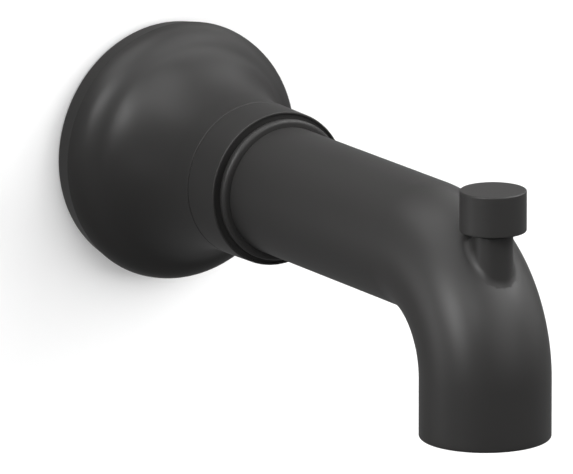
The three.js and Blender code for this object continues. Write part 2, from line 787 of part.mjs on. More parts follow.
function liftRod() {
  return onLiftAxis(
    turnedUp(
      [
        [0, footBottom],
        [footRadius, footBottom],
        [footRadius, footTop],
        [ROD_RADIUS, footTop],
        [ROD_RADIUS, rodTop],
        [0, rodTop],
      ],
      COARSE,
    ),
  );
}

function rodClip() {
  return onLiftAxis(turnedUp(ringOutline(rodHole, rodHole + CLIP_WIDTH, clipBottom, clipTop), COARSE));
}

class SpringLine extends THREE.Curve {
  getPoint(t) {
    const angle = 2 * Math.PI * SPRING_TURNS * t;
    const low = springBottom + SPRING_WIRE_RADIUS;
    const high = springTop - SPRING_WIRE_RADIUS;
    return new THREE.Vector3(
      springRadius * Math.cos(angle),
      springRadius * Math.sin(angle),
      low + (high - low) * t,
    );
  }
}

function returnSpring() {
  return onLiftAxis(roundAlong(SPRING_WIRE_RADIUS, new SpringLine(), 10 * SPRING_TURNS, 6));
}

function stemBushing() {
  return onLiftAxis(
    turnedUp(
      [
        [bushingPocket, bushingBottom],
        [bossBore - GAP, bushingBottom],
        [bossBore - GAP, bushingTop],
        [rodHole, bushingTop],
        [rodHole, bushingBottom + BUSHING_POCKET_DEPTH],
        [bushingPocket, bushingBottom + BUSHING_POCKET_DEPTH],
      ],
      MEDIUM,
    ),
  );
}

function stemSeal() {
  const height = bushingBottom + BUSHING_POCKET_DEPTH - GAP - STEM_SEAL_ROUND;
  return onLiftAxis(turnedUp(oringOutline(rodHole + STEM_SEAL_ROUND, height, STEM_SEAL_ROUND), COARSE));
}

function sealRetainer() {
  const outer = bushingPocket - SLIDE_GAP;
  return onLiftAxis(
    turnedUp(ringOutline(rodHole, outer, retainerBottom, retainerBottom + RETAINER_THICKNESS), COARSE),
  );
}

function diverterKnob() {
  const round = KNOB_EDGE_ROUND;
  const pocket = insertRadius + GAP;
  return onLiftAxis(
    turnedUp(
      [
        [pocket, knobBottom],
        ...arc(KNOB_RADIUS - round, knobBottom + round, round, -90, 0, 3),
        ...arc(KNOB_RADIUS - round, knobTop - round, round, 0, 90, 3),
        [0, knobTop],
        [0, insertTop + GAP],
        [pocket, insertTop + GAP],
      ],
      FINE,
    ),
  );
}

function knobInsert() {
  return onLiftAxis(
    turnedUp(
      [
        [rodHole, insertBottom],
        [insertRadius, insertBottom],
        [insertRadius, insertTop],
        [0, insertTop],
        [0, rodTop + GAP],
        [rodHole, rodTop + GAP],
      ],
      COARSE,
    ),
  );
}

// ---- Outlet insert ------------------------------------------------------------------------------------

function outletRing() {
  const groove = insertRingRadius - 2 * OUTLET_ORING_ROUND;
  const halfWidth = OUTLET_ORING_ROUND + GAP;
  return onOutletAxis(
    turnedUp(
      [
        [insertRingBore - OUTLET_RING_LIP, insertRingBottom],
        [insertRingRadius, insertRingBottom],
        [insertRingRadius, outletOringHeight - halfWidth],
        [groove, outletOringHeight - halfWidth],
        [groove, outletOringHeight + halfWidth],
        [insertRingRadius, outletOringHeight + halfWidth],
        [insertRingRadius, insertRingTop],
        [insertRingBore, insertRingTop],
        [insertRingBore, insertRingBottom + OUTLET_RING_LIP],
        [insertRingBore - OUTLET_RING_LIP, insertRingBottom + OUTLET_RING_LIP],
      ],
      FINE,
    ),
  );
}

function outletOring() {
  const middle = insertRingRadius + SLIDE_GAP - OUTLET_ORING_ROUND;
  return onOutletAxis(turnedUp(oringOutline(middle, outletOringHeight, OUTLET_ORING_ROUND), FINE));
}

function flowStraightener() {
  const height = vaneTop - vaneBottom;
  const ring = (outer) => turnedUp(ringOutline(outer - VANE_THICKNESS, outer, vaneBottom, vaneTop), MEDIUM);
  const hub = turnedUp(discOutline(VANE_HUB_RADIUS, vaneBottom, vaneTop), COARSE);
  const length = vaneRadius - VANE_THICKNESS / 2;
  const vanes = Array.from({ length: VANE_COUNT }, (_, i) =>
    new THREE.BoxGeometry(length, VANE_THICKNESS, height)
      .translate(length / 2, 0, (vaneTop + vaneBottom) / 2)
      .rotateZ((2 * Math.PI * i) / VANE_COUNT),
  );
  return onOutletAxis(joined(hub, ring(VANE_MIDDLE_RADIUS), ring(vaneRadius), ...vanes));
}

// ---- Assembly -----------------------------------------------------------------------------------------

const adapterSealOut = adapterNose - WATERWAY_ORING_ROUND - GAP;
const stubSealOut = stubBack + WATERWAY_ORING_ROUND + GAP;

const wallSide = new THREE.Group().add(
  part("escutcheon_bell", escutcheonBell(), mattBlack),
  part("wall_gasket", wallGasket(), foam),
  part("collar_ring", collarRing(), mattBlack),
  part("collar_set_screw", collarSetScrew(), steel),
  part("bead_ring", beadRing(), mattBlack),
);

const inlet = new THREE.Group().add(
  part("inlet_adapter", inletAdapter(), brass),
  part("pipe_seal", pipeSeal(), rubber),
  part("adapter_oring_rear", adapterOring(oringRearOut), rubber),
  part("adapter_oring_front", adapterOring(oringFrontOut), rubber),
);

const waterway = new THREE.Group().add(
  part("waterway_tube", waterwayTube(), whitePlastic),
  part("waterway_oring_inlet", waterwayOring(adapterSealOut), rubber),
  part("waterway_oring_outlet", onPortAxis(waterwayOring(stubSealOut)), rubber),
);

const diverter = new THREE.Group().add(
  part("gate_housing", gateHousing(), greyPlastic),
  part("housing_cap", housingCap(), greyPlastic),
  part("gate_carrier", gateCarrier(), whitePlastic),
  part("gate_washer", gateWasher(), rubber),
  part("gate_screw", gateScrew(), steel),
  part("lift_rod", liftRod(), brass),
  part("rod_clip", rodClip(), steel),
  part("return_spring", returnSpring(), steel),
  part("stem_bushing", stemBushing(), brass),
  part("stem_seal", stemSeal(), rubber),
  part("seal_retainer", sealRetainer(), steel),
  part("diverter_knob", diverterKnob(), mattBlack),
  part("knob_insert", knobInsert(), brass),
);

const outlet = new THREE.Group().add(
  part("outlet_ring", outletRing(), greyPlastic),
  part("flow_straightener", flowStraightener(), whitePlastic),
  part("outlet_oring", outletOring(), rubber),
);

const spout = new THREE.Group();
spout.add(wallSide, inlet, part("spout_body", spoutBody(), mattBlack), waterway, diverter, outlet);

export default spout;
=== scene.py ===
"""Wall mounted bath spout with a pull-up diverter knob, in matt black over brass and plastic inner pieces.

Lengths are in metres, with +Z up. The origin is the centre of the escutcheon's back face, on the wall. The
spout's tube runs along -Y, so a distance from the wall is called "out" and lies at y = -out.
"""

import json
import math

import bmesh
import bpy
from bpy.props import FloatProperty, FloatVectorProperty, IntProperty, PointerProperty
from bpy.types import Operator, Panel, PropertyGroup
from mathutils import Matrix, Vector
from mathutils.geometry import interpolate_bezier

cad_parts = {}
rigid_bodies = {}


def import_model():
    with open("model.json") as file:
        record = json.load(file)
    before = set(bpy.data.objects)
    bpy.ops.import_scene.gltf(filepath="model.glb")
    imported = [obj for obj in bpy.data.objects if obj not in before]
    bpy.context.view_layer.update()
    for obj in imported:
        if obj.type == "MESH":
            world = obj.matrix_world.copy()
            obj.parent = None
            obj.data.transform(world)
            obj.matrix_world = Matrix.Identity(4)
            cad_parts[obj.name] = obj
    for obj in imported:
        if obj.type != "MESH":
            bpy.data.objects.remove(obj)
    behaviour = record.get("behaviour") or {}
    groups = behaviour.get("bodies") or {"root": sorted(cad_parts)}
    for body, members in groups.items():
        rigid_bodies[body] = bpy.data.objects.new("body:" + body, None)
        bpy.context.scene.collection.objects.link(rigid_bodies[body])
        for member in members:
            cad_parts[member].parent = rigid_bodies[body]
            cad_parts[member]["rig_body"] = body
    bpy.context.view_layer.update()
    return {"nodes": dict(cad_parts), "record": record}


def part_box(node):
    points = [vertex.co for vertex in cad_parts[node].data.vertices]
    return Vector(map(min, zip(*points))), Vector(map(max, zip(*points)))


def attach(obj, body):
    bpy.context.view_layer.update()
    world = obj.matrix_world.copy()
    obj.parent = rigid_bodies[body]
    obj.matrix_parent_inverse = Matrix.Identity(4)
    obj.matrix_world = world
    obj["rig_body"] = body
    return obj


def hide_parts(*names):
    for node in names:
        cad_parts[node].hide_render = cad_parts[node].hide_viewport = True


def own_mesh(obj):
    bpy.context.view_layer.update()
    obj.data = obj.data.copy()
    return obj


bl_info = {
    "name": "Wall Mounted Bath Spout",
    "version": (1, 0, 0),
    "blender": (4, 5, 0),
    "location": "3D View > Sidebar > Bath Spout",
    "description": "Finishes a bath spout and its diverter knob, piece by piece, on a studio wall",
    "category": "Add Mesh",
}

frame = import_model()

MM = 0.001
GAP = 0.3 * MM  # between two pieces that seat on or in each other
SLIDE_GAP = 0.15 * MM  # round the lift rod
WELD = 0.0001 * MM  # points closer than this become one

ROUND_STEPS = 5  # faces across a rounded edge
SUPPORT = 1.6  # a support point's distance from a rounded corner, in roundings
SUPPORT_MOST = 0.46  # and the most it may be, as a share of the way to the next corner
SMOOTH_BELOW = math.radians(38)  # faces that meet at a smaller angle are shaded as one
BELL_STEPS = 22  # points on each half of the escutcheon's curve
BEND_STEPS = 64

SPIGOT_STEP = 0.95 * MM  # how much thinner the spigot is than the back of the tube, in radius
ROD_FOOT_STEP = 0.6 * MM  # how much thinner the lift rod is than its foot, in radius


# ---- What a user may change ----------------------------------------------------------------------------


def size(name, description, millimetres):
    return FloatProperty(
        name=name, description=description, default=millimetres * MM, min=0, precision=5, unit="LENGTH"
    )


def share(name, description, value, most=1):
    return FloatProperty(name=name, description=description, default=value, min=0, max=most)


def turn(name, description, degrees):
    return FloatProperty(
        name=name, description=description, default=math.radians(degrees), subtype="ANGLE", unit="ROTATION"
    )


def colour(name, description, value):
    return FloatVectorProperty(
        name=name, description=description, default=value, size=3, min=0, max=1, subtype="COLOR"
    )


class SpoutSizes(PropertyGroup):
    """Sizes of the spout that its frame doesn't give."""

    rim_depth: size("Rim depth", "Height of the escutcheon's conical rim above the wall", 8.2)
    rim_flare: size("Rim flare", "How much wider the rim is in front than on the wall", 1.5)
    dome_slope: turn("Dome slope", "Slope of the dome towards the axis where it leaves the rim", 5)
    turn_out: size("Turn", "Where the dome's outward curve turns into the hollow one", 17.9)
    turn_share: share("Turn share", "Radius of that turn, from the neck to the rim", 0.645)
    turn_slope: turn("Turn slope", "Slope towards the axis at that turn", 64)
    neck_length: size("Neck length", "Straight end of the escutcheon", 5.8)
    bell_wall: size("Bell wall", "Wall of the escutcheon", 2.2)
    foot_depth: size("Foot depth", "Thickness of the escutcheon's foot", 5)
    gasket_width: size("Gasket width", "Width of the foam ring in the foot", 3)
    seam_round: size("Seam edge", "Rounding of the two edges at the seam", 0.3)
    collar_taper: size("Collar taper", "How much the collar narrows to its front", 0.2)
    collar_round: size("Collar edge", "Rounding of the collar's front edge", 0.45)
    collar_lip: size("Collar lip", "Wall of the collar's front end, round the bead's recess", 0.75)
    collar_recess: size("Recess depth", "Depth of the recess that the bead sits in", 0.8)
    bead_round: size("Bead edge", "Rounding of the bead's edges", 1.25)
    tube_taper: size("Tube taper", "How much thinner the tube is at the collar", 0.3)
    body_wall: size("Body wall", "Wall of the spout", 2.5)
    bend_radius: size("Bend radius", "Radius of the bend's centre line", 38)
    lip_round: size("Lip edge", "Outer rounding of the outlet's lip", 0.9)
    mouth_round: size("Mouth edge", "Inner rounding of the outlet's lip", 0.4)
    boss_radius: size("Boss radius", "Radius of the boss under the knob", 6.75)
    boss_wall: size("Boss wall", "Wall of that boss", 2.25)
    boss_fillet: size("Boss fillet", "Rounding where the boss leaves the bend", 3.2)
    boss_front_fillet: size("Front fillet", "The same rounding in front", 6)
    knob_round: size("Knob edge", "Rounding of the knob's edges", 0.45)
    fine: IntProperty(name="Fine steps", description="Steps round large pieces", default=160, min=24)
    small: IntProperty(name="Small steps", description="Steps round small pieces", default=72, min=24)


class SpoutFinish(PropertyGroup):
    """Colours and gloss of the spout's finishes."""

    black: colour("Matt black", "Colour of the coat", (0.0176, 0.0171, 0.0168))
    black_gloss: share("Coat roughness", "Roughness of the coat", 0.42)
    brass: colour("Brass", "Colour of the bare brass", (0.70, 0.50, 0.23))
    steel: colour("Steel", "Colour of the stainless steel", (0.56, 0.56, 0.55))
    rubber: colour("Rubber", "Colour of the seals", (0.014, 0.014, 0.015))
    foam: colour("Foam", "Colour of the gasket", (0.055, 0.055, 0.057))
    white: colour("White plastic", "Colour of the moulded acetal", (0.74, 0.74, 0.70))
    grey: colour("Grey plastic", "Colour of the housing", (0.27, 0.29, 0.30))


class StudioSettings(PropertyGroup):
    """The studio wall, the light and the camera."""

    wall: colour("Wall", "Colour of the wall and the floor", (0.93, 0.93, 0.93))
    ambient: share("Ambient light", "Strength of the even light from all round", 0.284, 10)
    azimuth: turn("Camera azimuth", "Turn of the camera round the spout, from straight in front", -32.283)
    elevation: turn("Camera elevation", "Height of the camera above the horizon", 14.216)
    distance: size("Camera distance", "From the camera to the point that it looks at", 7000)
    view_width: size("View width", "Width of the view at that point", 193.52)
    aim_right: size("Aim to the right", "That point's place to the right of the origin, in the view", 41.07)
    aim_down: size("Aim down", "That point's place below the origin, in the view", 31.40)
    aim_near: size("Aim depth", "That point's place in front of the origin, in the view", 73.76)


# ---- Materials -----------------------------------------------------------------------------------------


class Reading:
    """A number that varies over a surface. Arithmetic on it adds Math nodes to its finish."""

    def __init__(self, finish, socket):
        self.finish = finish
        self.socket = socket

    def _maths(self, operation, first, second):
        node = self.finish.node("ShaderNodeMath", {"operation": operation}, {0: first, 1: second})
        return Reading(self.finish, node.outputs[0])

    def __add__(self, other):
        return self._maths("ADD", self, other)

    def __sub__(self, other):
        return self._maths("SUBTRACT", self, other)

    def __rsub__(self, other):
        return self._maths("SUBTRACT", other, self)

    def __mul__(self, other):
        return self._maths("MULTIPLY", self, other)


class Finish:
    """A material being made: its shader, and the nodes that feed it."""

    def __init__(self, name, constants):
        self.material = bpy.data.materials.new(name)
        self.material.use_nodes = True
        self.nodes = self.material.node_tree.nodes
        self.links = self.material.node_tree.links
        self.shader = self.nodes["Principled BSDF"]
        self.output = self.nodes["Material Output"]
        for socket, value in constants.items():
            self.shader.inputs[socket].default_value = value
        self.place = self.node("ShaderNodeTexCoord", {}, {}).outputs["Object"]

    def node(self, kind, settings, sockets):
        """Adds a node: its type, its settings, and the values or links of its sockets."""
        node = self.nodes.new(kind)
        for name, value in settings.items():
            setattr(node, name, value)
        for name, value in sockets.items():
            self.feed(node.inputs[name], value)
        return node

    def feed(self, socket, value):
        if isinstance(value, Reading):
            value = value.socket
        if isinstance(value, bpy.types.NodeSocket):
            self.links.new(value, socket)
        else:
            socket.default_value = value

    def noise(self, scale, detail=2.0, roughness=0.5, place=None):
        """Soft noise from 0 to 1, with this many features to the metre."""
        node = self.node(
            "ShaderNodeTexNoise",
            {"noise_dimensions": "3D"},
            {"Vector": place or self.place, "Scale": scale, "Detail": detail, "Roughness": roughness},
        )
        return Reading(self, node.outputs["Fac"])

    def mixed(self, factor, first, second):
        """A colour between two others."""
        node = self.node(
            "ShaderNodeMix", {"data_type": "RGBA"}, {0: factor, 6: (*first, 1), 7: (*second, 1)}
        )
        return node.outputs[2]

    def bump(self, height, distance):
        """Raises the surface by up to this distance."""
        node = self.node("ShaderNodeBump", {}, {"Height": height, "Distance": distance, "Strength": 1.0})
        self.feed(self.shader.inputs["Normal"], node.outputs["Normal"])

    def rings(self, centre, along, scale):
        """Fine concentric tool marks about an axis through a point, along Y or Z."""
        flatten = (1, 0, 1) if along == "Y" else (1, 1, 0)
        moved = self.node(
            "ShaderNodeVectorMath", {"operation": "SUBTRACT"}, {0: self.place, 1: centre}
        ).outputs[0]
        across = self.node(
            "ShaderNodeVectorMath", {"operation": "MULTIPLY"}, {0: moved, 1: flatten}
        ).outputs[0]
        radius = self.node("ShaderNodeVectorMath", {"operation": "LENGTH"}, {0: across}).outputs["Value"]
        parts = self.node("ShaderNodeSeparateXYZ", {}, {"Vector": moved})
        marks = self.node("ShaderNodeCombineXYZ", {}, {"X": radius, "Y": parts.outputs[along]})
        return self.noise(scale, 1.0, 0.6, marks.outputs["Vector"])


def tinted(tone, by):
    return tuple(min(1, channel * by) for channel in tone)


def coat_finish(name, tone, roughness):
    """A sprayed matt coat: even, with a faint drift of tone and a very fine tooth."""
    finish = Finish(name, {"Specular IOR Level": 0.24})
    drift = finish.noise(35, 3.0)
    tooth = finish.noise(2600, 2.0, 0.6)
    finish.feed(finish.shader.inputs["Base Color"], finish.mixed(drift, tinted(tone, 0.9), tinted(tone, 1.1)))
    finish.feed(finish.shader.inputs["Roughness"], drift * 0.05 + tooth * 0.05 + (roughness - 0.05))
    finish.bump(tooth, 0.004 * MM)
    return finish.material


def turned_metal_finish(name, tone, roughness, centre, along):
    """Bare metal off the lathe, with concentric tool marks."""
    finish = Finish(name, {"Metallic": 1.0})
    marks = finish.rings(centre, along, 7000)
    stain = finish.noise(160, 3.0)
    finish.feed(
        finish.shader.inputs["Base Color"], finish.mixed(stain, tinted(tone, 0.86), tinted(tone, 1.08))
    )
    finish.feed(finish.shader.inputs["Roughness"], marks * 0.16 + stain * 0.1 + (roughness - 0.13))
    finish.bump(marks, 0.006 * MM)
    return finish.material


def rubber_finish(name, tone):
    """Smooth moulded rubber with a dusty bloom."""
    finish = Finish(name, {"Specular IOR Level": 0.45})
    bloom = finish.noise(420, 4.0, 0.65)
    grain = finish.noise(3200, 2.0)
    finish.feed(finish.shader.inputs["Base Color"], finish.mixed(bloom, tone, tinted(tone, 2.0)))
    finish.feed(finish.shader.inputs["Roughness"], bloom * 0.25 + 0.5)
    finish.bump(grain, 0.008 * MM)
    return finish.material


def foam_finish(name, tone):
    """Closed-cell foam: small raised cells, with painted shade that darkens the grooves between them."""
    finish = Finish(name, {"Specular IOR Level": 0.2})
    cells = finish.node(
        "ShaderNodeTexVoronoi", {"feature": "F1"}, {"Vector": finish.place, "Scale": 1700.0}
    )
    cell = Reading(finish, cells.outputs["Distance"])
    # painted shade: the colour goes from light at each cell's raised middle to dark in the low grooves at its
    # edges
    finish.feed(
        finish.shader.inputs["Base Color"], finish.mixed(cell, tinted(tone, 1.7), tinted(tone, 0.45))
    )
    finish.feed(finish.shader.inputs["Roughness"], 0.98 - cell * 0.1)
    finish.bump(1 - cell, 0.12 * MM)
    return finish.material


def plastic_finish(name, tone, roughness):
    """Moulded plastic with a spark-eroded skin and faint flow marks."""
    finish = Finish(name, {"Specular IOR Level": 0.45})
    flow = finish.noise(90, 2.0)
    skin = finish.noise(4200, 3.0, 0.7)
    finish.feed(
        finish.shader.inputs["Base Color"], finish.mixed(flow, tinted(tone, 0.93), tinted(tone, 1.04))
    )
    finish.feed(finish.shader.inputs["Roughness"], flow * 0.08 + skin * 0.1 + (roughness - 0.09))
    finish.bump(skin, 0.006 * MM)
    return finish.material


def studio_finish(name, tone):
    """A plain painted board. It is clear from behind, so that the spout's back can be seen."""
    finish = Finish(name, {"Roughness": 0.9, "Specular IOR Level": 0.1})
    mottle = finish.noise(4, 2.0)
    finish.feed(
        finish.shader.inputs["Base Color"], finish.mixed(mottle, tinted(tone, 0.995), tinted(tone, 1.005))
    )
    clear = finish.node("ShaderNodeBsdfTransparent", {}, {})
    back = finish.node("ShaderNodeNewGeometry", {}, {}).outputs["Backfacing"]
    sided = finish.node(
        "ShaderNodeMixShader", {}, {0: back, 1: finish.shader.outputs[0], 2: clear.outputs[0]}
    )
    finish.feed(finish.output.inputs["Surface"], sided.outputs[0])
    return finish.material


# ---- Building pieces -----------------------------------------------------------------------------------


def rounded(bm, geom, rounding, affect, steps=ROUND_STEPS):
    """Rounds some of a skin's edges, or some of a wire's vertices."""
    bmesh.ops.bevel(
        bm,
        geom=geom,
        offset=rounding,
        offset_type="OFFSET",
        segments=steps,
        profile=0.5,
        affect=affect,
        material=-1,
    )


def swept(bm, geom, centre, axis, angle, steps, rise=0, merge=False):
    """Turns wires about an axis, rising along Z at each step. Gives what stands at the end."""
    return bmesh.ops.spin(
        bm,
        geom=geom,
        cent=centre,
        axis=axis,
        dvec=(0, 0, rise),
        angle=angle,
        steps=steps,
        use_merge=merge,
        use_normal_flip=False,
        use_duplicate=False,
    )["geom_last"]


def wire(bm, corners):
    """Adds a wire through (radius, height, rounding) corners.

    A rounded corner is cut in steps, and gets a point on each side that keeps the flats beside it flat in
    the shading. The wire stays open where both its ends are on the axis.
    """
    points = []
    for i, (radius, height, rounding) in enumerate(corners):
        here = Vector((radius, 0, height))
        if rounding == 0:
            points.append((here, 0))
            continue
        beside = []
        for other in (corners[i - 1], corners[(i + 1) % len(corners)]):
            way = Vector((other[0], 0, other[1])) - here
            beside.append(here + way.normalized() * min(SUPPORT * rounding, SUPPORT_MOST * way.length))
        points += [(beside[0], 0), (here, rounding), (beside[1], 0)]
    verts = [bm.verts.new(point) for point, _ in points]
    for first, second in zip(verts, verts[1:]):
        bm.edges.new((first, second))
    if corners[0][0] != 0 or corners[-1][0] != 0:
        bm.edges.new((verts[-1], verts[0]))
    for rounding in sorted({r for _, r in points if r}):
        rounded(bm, [vert for vert, (_, r) in zip(verts, points) if r == rounding], rounding, "VERTICES")


def spun(bm, steps):
    """Turns all the wires about the upright axis, and closes the skin."""
    swept(bm, bm.verts[:] + bm.edges[:], (0, 0, 0), (0, 0, 1), 2 * math.pi, steps, merge=True)
    bmesh.ops.remove_doubles(bm, verts=bm.verts[:], dist=WELD)
    bmesh.ops.recalc_face_normals(bm, faces=bm.faces[:])
    return bm


def turned(steps, *outlines):
    """A turned skin about the upright axis, from closed outlines of (radius, height, rounding) corners."""
    bm = bmesh.new()
    for corners in outlines:
        wire(bm, corners)
    return spun(bm, steps)


def hoop(steps, radius, height, thickness):
    """A round-section ring about the upright axis, from its middle radius and its section's radius."""
    bm = bmesh.new()
    upright = Matrix.Translation((radius, 0, height)) @ Matrix.Rotation(math.pi / 2, 4, "X")
    bmesh.ops.create_circle(bm, cap_ends=False, segments=20, radius=thickness, matrix=upright)
    return spun(bm, steps)


def placed(bm, shift):
    bmesh.ops.translate(bm, vec=shift, verts=bm.verts[:])
    return bm


def faced_out(bm):
    """Turns a piece from the upright axis to the spout's, so that its height becomes its distance out."""
    bmesh.ops.rotate(bm, cent=(0, 0, 0), matrix=Matrix.Rotation(math.pi / 2, 3, "X"), verts=bm.verts[:])
    return bm


def plain(inner, outer, low, high, rounding=0.0):
    """A plain ring's corners, or a disc's where the inner radius is 0."""
    if inner == 0:
        return [(0, low, 0), (outer, low, rounding), (outer, high, rounding), (0, high, 0)]
    return [
        (inner, low, rounding),
        (outer, low, rounding),
        (outer, high, rounding),
        (inner, high, rounding),
    ]


def hexed(bm, radii, heights, flat):
    """Presses the skin between two radii and two heights into a hexagon, whose flats are this far out."""
    for vert in bm.verts:
        radius = math.hypot(vert.co.x, vert.co.y)
        if radii[0] <= radius <= radii[1] and heights[0] <= vert.co.z <= heights[1]:
            angle = math.atan2(vert.co.y, vert.co.x)
            off_flat = (angle + math.pi / 6) % (math.pi / 3) - math.pi / 6
            share_kept = min(1, flat / math.cos(off_flat) / radius)
            vert.co.x *= share_kept
            vert.co.y *= share_kept
    return bm


def made(bm, name):
    """An object from a skin, smooth but for its true edges."""
    mesh = bpy.data.meshes.new(name)
    bm.to_mesh(mesh)
    bm.free()
    mesh.shade_smooth()
    mesh.set_sharp_from_angle(angle=SMOOTH_BELOW)
    thing = bpy.data.objects.new(name, mesh)
    bpy.context.scene.collection.objects.link(thing)
    return thing


def piece(bm, node, finish):
    """A finished piece from a skin. It stands for a CAD node and rides on that node's body."""
    thing = made(bm, node + "_finished")
    thing.data.materials.append(bpy.data.materials[finish])
    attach(thing, frame["nodes"][node]["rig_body"])
    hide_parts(node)
    return thing


def after_modifiers(bm, modifiers):
    """The skin as the modifiers leave it. Each is a type and its settings.

    A skin among the settings becomes an object that the modifier works with.
    """
    temporary = [made(bm, "in_progress")]
    for kind, settings in modifiers:
        modifier = temporary[0].modifiers.new(kind, kind)
        for name, value in settings.items():
            if isinstance(value, bmesh.types.BMesh):
                value = made(value, "tool")
                temporary.append(value)
            setattr(modifier, name, value)
    depsgraph = bpy.context.evaluated_depsgraph_get()
    mesh = bpy.data.meshes.new_from_object(temporary[0].evaluated_get(depsgraph), depsgraph=depsgraph)
    result = bmesh.new()
    result.from_mesh(mesh)
    for thing in temporary:
        bpy.data.meshes.remove(thing.data)
    bpy.data.meshes.remove(mesh)
    return result


def pulled(bm, edges, shift=(0, 0, 0), grown=1.0, about=(0, 0, 0)):
    """Extrudes a ring of edges, moves the new ring, and grows it about a point. Gives its edges."""
    geom = bmesh.ops.extrude_edge_only(bm, edges=edges)["geom"]
    verts = [item for item in geom if isinstance(item, bmesh.types.BMVert)]
    bmesh.ops.translate(bm, vec=shift, verts=verts)
    bmesh.ops.scale(bm, vec=(grown,) * 3, space=Matrix.Translation(-Vector(about)), verts=verts)
    found = set(verts)
    return [item for item in geom if isinstance(item, bmesh.types.BMEdge) and set(item.verts) <= found]


# ---- Where things are ----------------------------------------------------------------------------------


def reach_of(node):
    """A node on the spout's axis: its radius, and how far out it starts and ends."""
    low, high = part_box(node)
    return high.x, -high.y, -low.y


def column_of(node):
    """A node on an upright axis: its radius, its lowest and highest height, and its axis."""
    low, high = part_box(node)
    return high.x, low.z, high.z, Vector((0, (low.y + high.y) / 2, 0))


class Bend:
    """The spout's body: a straight tube, a quarter bend and a straight leg, from the frame."""

    def __init__(self, sizes):
        low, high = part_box("spout_body")
        self.sizes = sizes
        self.radius = high.x
        self.reach = -low.y - high.x
        self.lip = low.z
        self.start = self.reach - sizes.bend_radius
        self.back_radius = self.radius - sizes.tube_taper
        self.spigot = self.back_radius - SPIGOT_STEP
        self.spigot_back = -high.y

    def height(self, radius, side, out):
        """The height of the bend's upper surface, of a given radius, above a point."""
        half = math.sqrt(radius**2 - side**2)
        around = math.sqrt((self.sizes.bend_radius + half) ** 2 - (out - self.start) ** 2)
        return around - self.sizes.bend_radius

    def outward(self, point):
        """The direction from the bend's centre line to a point."""
        centre = Vector((0, -self.start, -self.sizes.bend_radius))
        spoke = point - centre
        spoke.x = 0
        return (point - centre - spoke.normalized() * self.sizes.bend_radius).normalized()


# ---- Pieces --------------------------------------------------------------------------------------------


def bell_curve(sizes, rim, neck, length):
    """The escutcheon's outline from its rim's edge to its neck: a dome, then a hollow sweep."""
    turn_radius = neck + sizes.turn_share * (rim - neck)
    stations = [
        (Vector((rim, 0, sizes.rim_depth)), sizes.dome_slope),
        (Vector((turn_radius, 0, sizes.turn_out)), sizes.turn_slope),
        (Vector((neck, 0, length - sizes.neck_length)), 0.0),
    ]
    pulls = [(0.35, 0.45), (0.2, 0.385)]  # how far each half follows its two end slopes, in chords
    points = []
    for (start, slope), (end, end_slope), (pull, end_pull) in zip(stations, stations[1:], pulls):
        chord = (end - start).length
        leave = Vector((-math.sin(slope), 0, math.cos(slope))) * pull * chord
        arrive = Vector((-math.sin(end_slope), 0, math.cos(end_slope))) * end_pull * chord
        points += interpolate_bezier(start, start + leave, end - arrive, end, BELL_STEPS)[bool(points) :]
    return points


def moved_in(points, distance):
    """An outline moved towards the axis, square to itself."""
    inner = []
    for i, point in enumerate(points):
        along = (points[min(i + 1, len(points) - 1)] - points[max(i - 1, 0)]).normalized()
        inner.append(point + Vector((-along.z, 0, along.x)) * distance)
    return inner


class BATHSPOUT_OT_finishes(Operator):
    """Makes the spout's materials and puts them on the pieces that keep their CAD shape"""

    bl_idname = "bath_spout.finishes"
    bl_label = "Finishes"

    def execute(self, context):
        look = context.scene.spout_finish
        axis = column_of("lift_rod")[3]
        coat_finish("matt black coat", look.black, look.black_gloss)
        foam_finish("closed-cell foam", look.foam)
        rubber_finish("black rubber", look.rubber)
        turned_metal_finish("brass on the wall axis", look.brass, 0.3, (0, 0, 0), "Y")
        turned_metal_finish("brass on the rod axis", look.brass, 0.26, axis, "Z")
        turned_metal_finish("steel on the rod axis", look.steel, 0.28, axis, "Z")
        turned_metal_finish("steel screw", look.steel, 0.3, (0, 0, 0), "Z")
        plastic_finish("white acetal", look.white, 0.42)
        plastic_finish("grey plastic", look.grey, 0.48)
        by_slot = {
            "matt_black": "matt black coat",
            "foam_gasket": "closed-cell foam",
            "stainless_steel": "steel on the rod axis",
            "brass": "brass on the wall axis",
            "black_rubber": "black rubber",
            "white_plastic": "white acetal",
            "grey_plastic": "grey plastic",
        }
        for part in frame["record"]["subparts"]:
            node = frame["nodes"][part["node"]]
            node.data.materials.clear()
            node.data.materials.append(bpy.data.materials[by_slot[part["material_slot"]]])
        return {"FINISHED"}


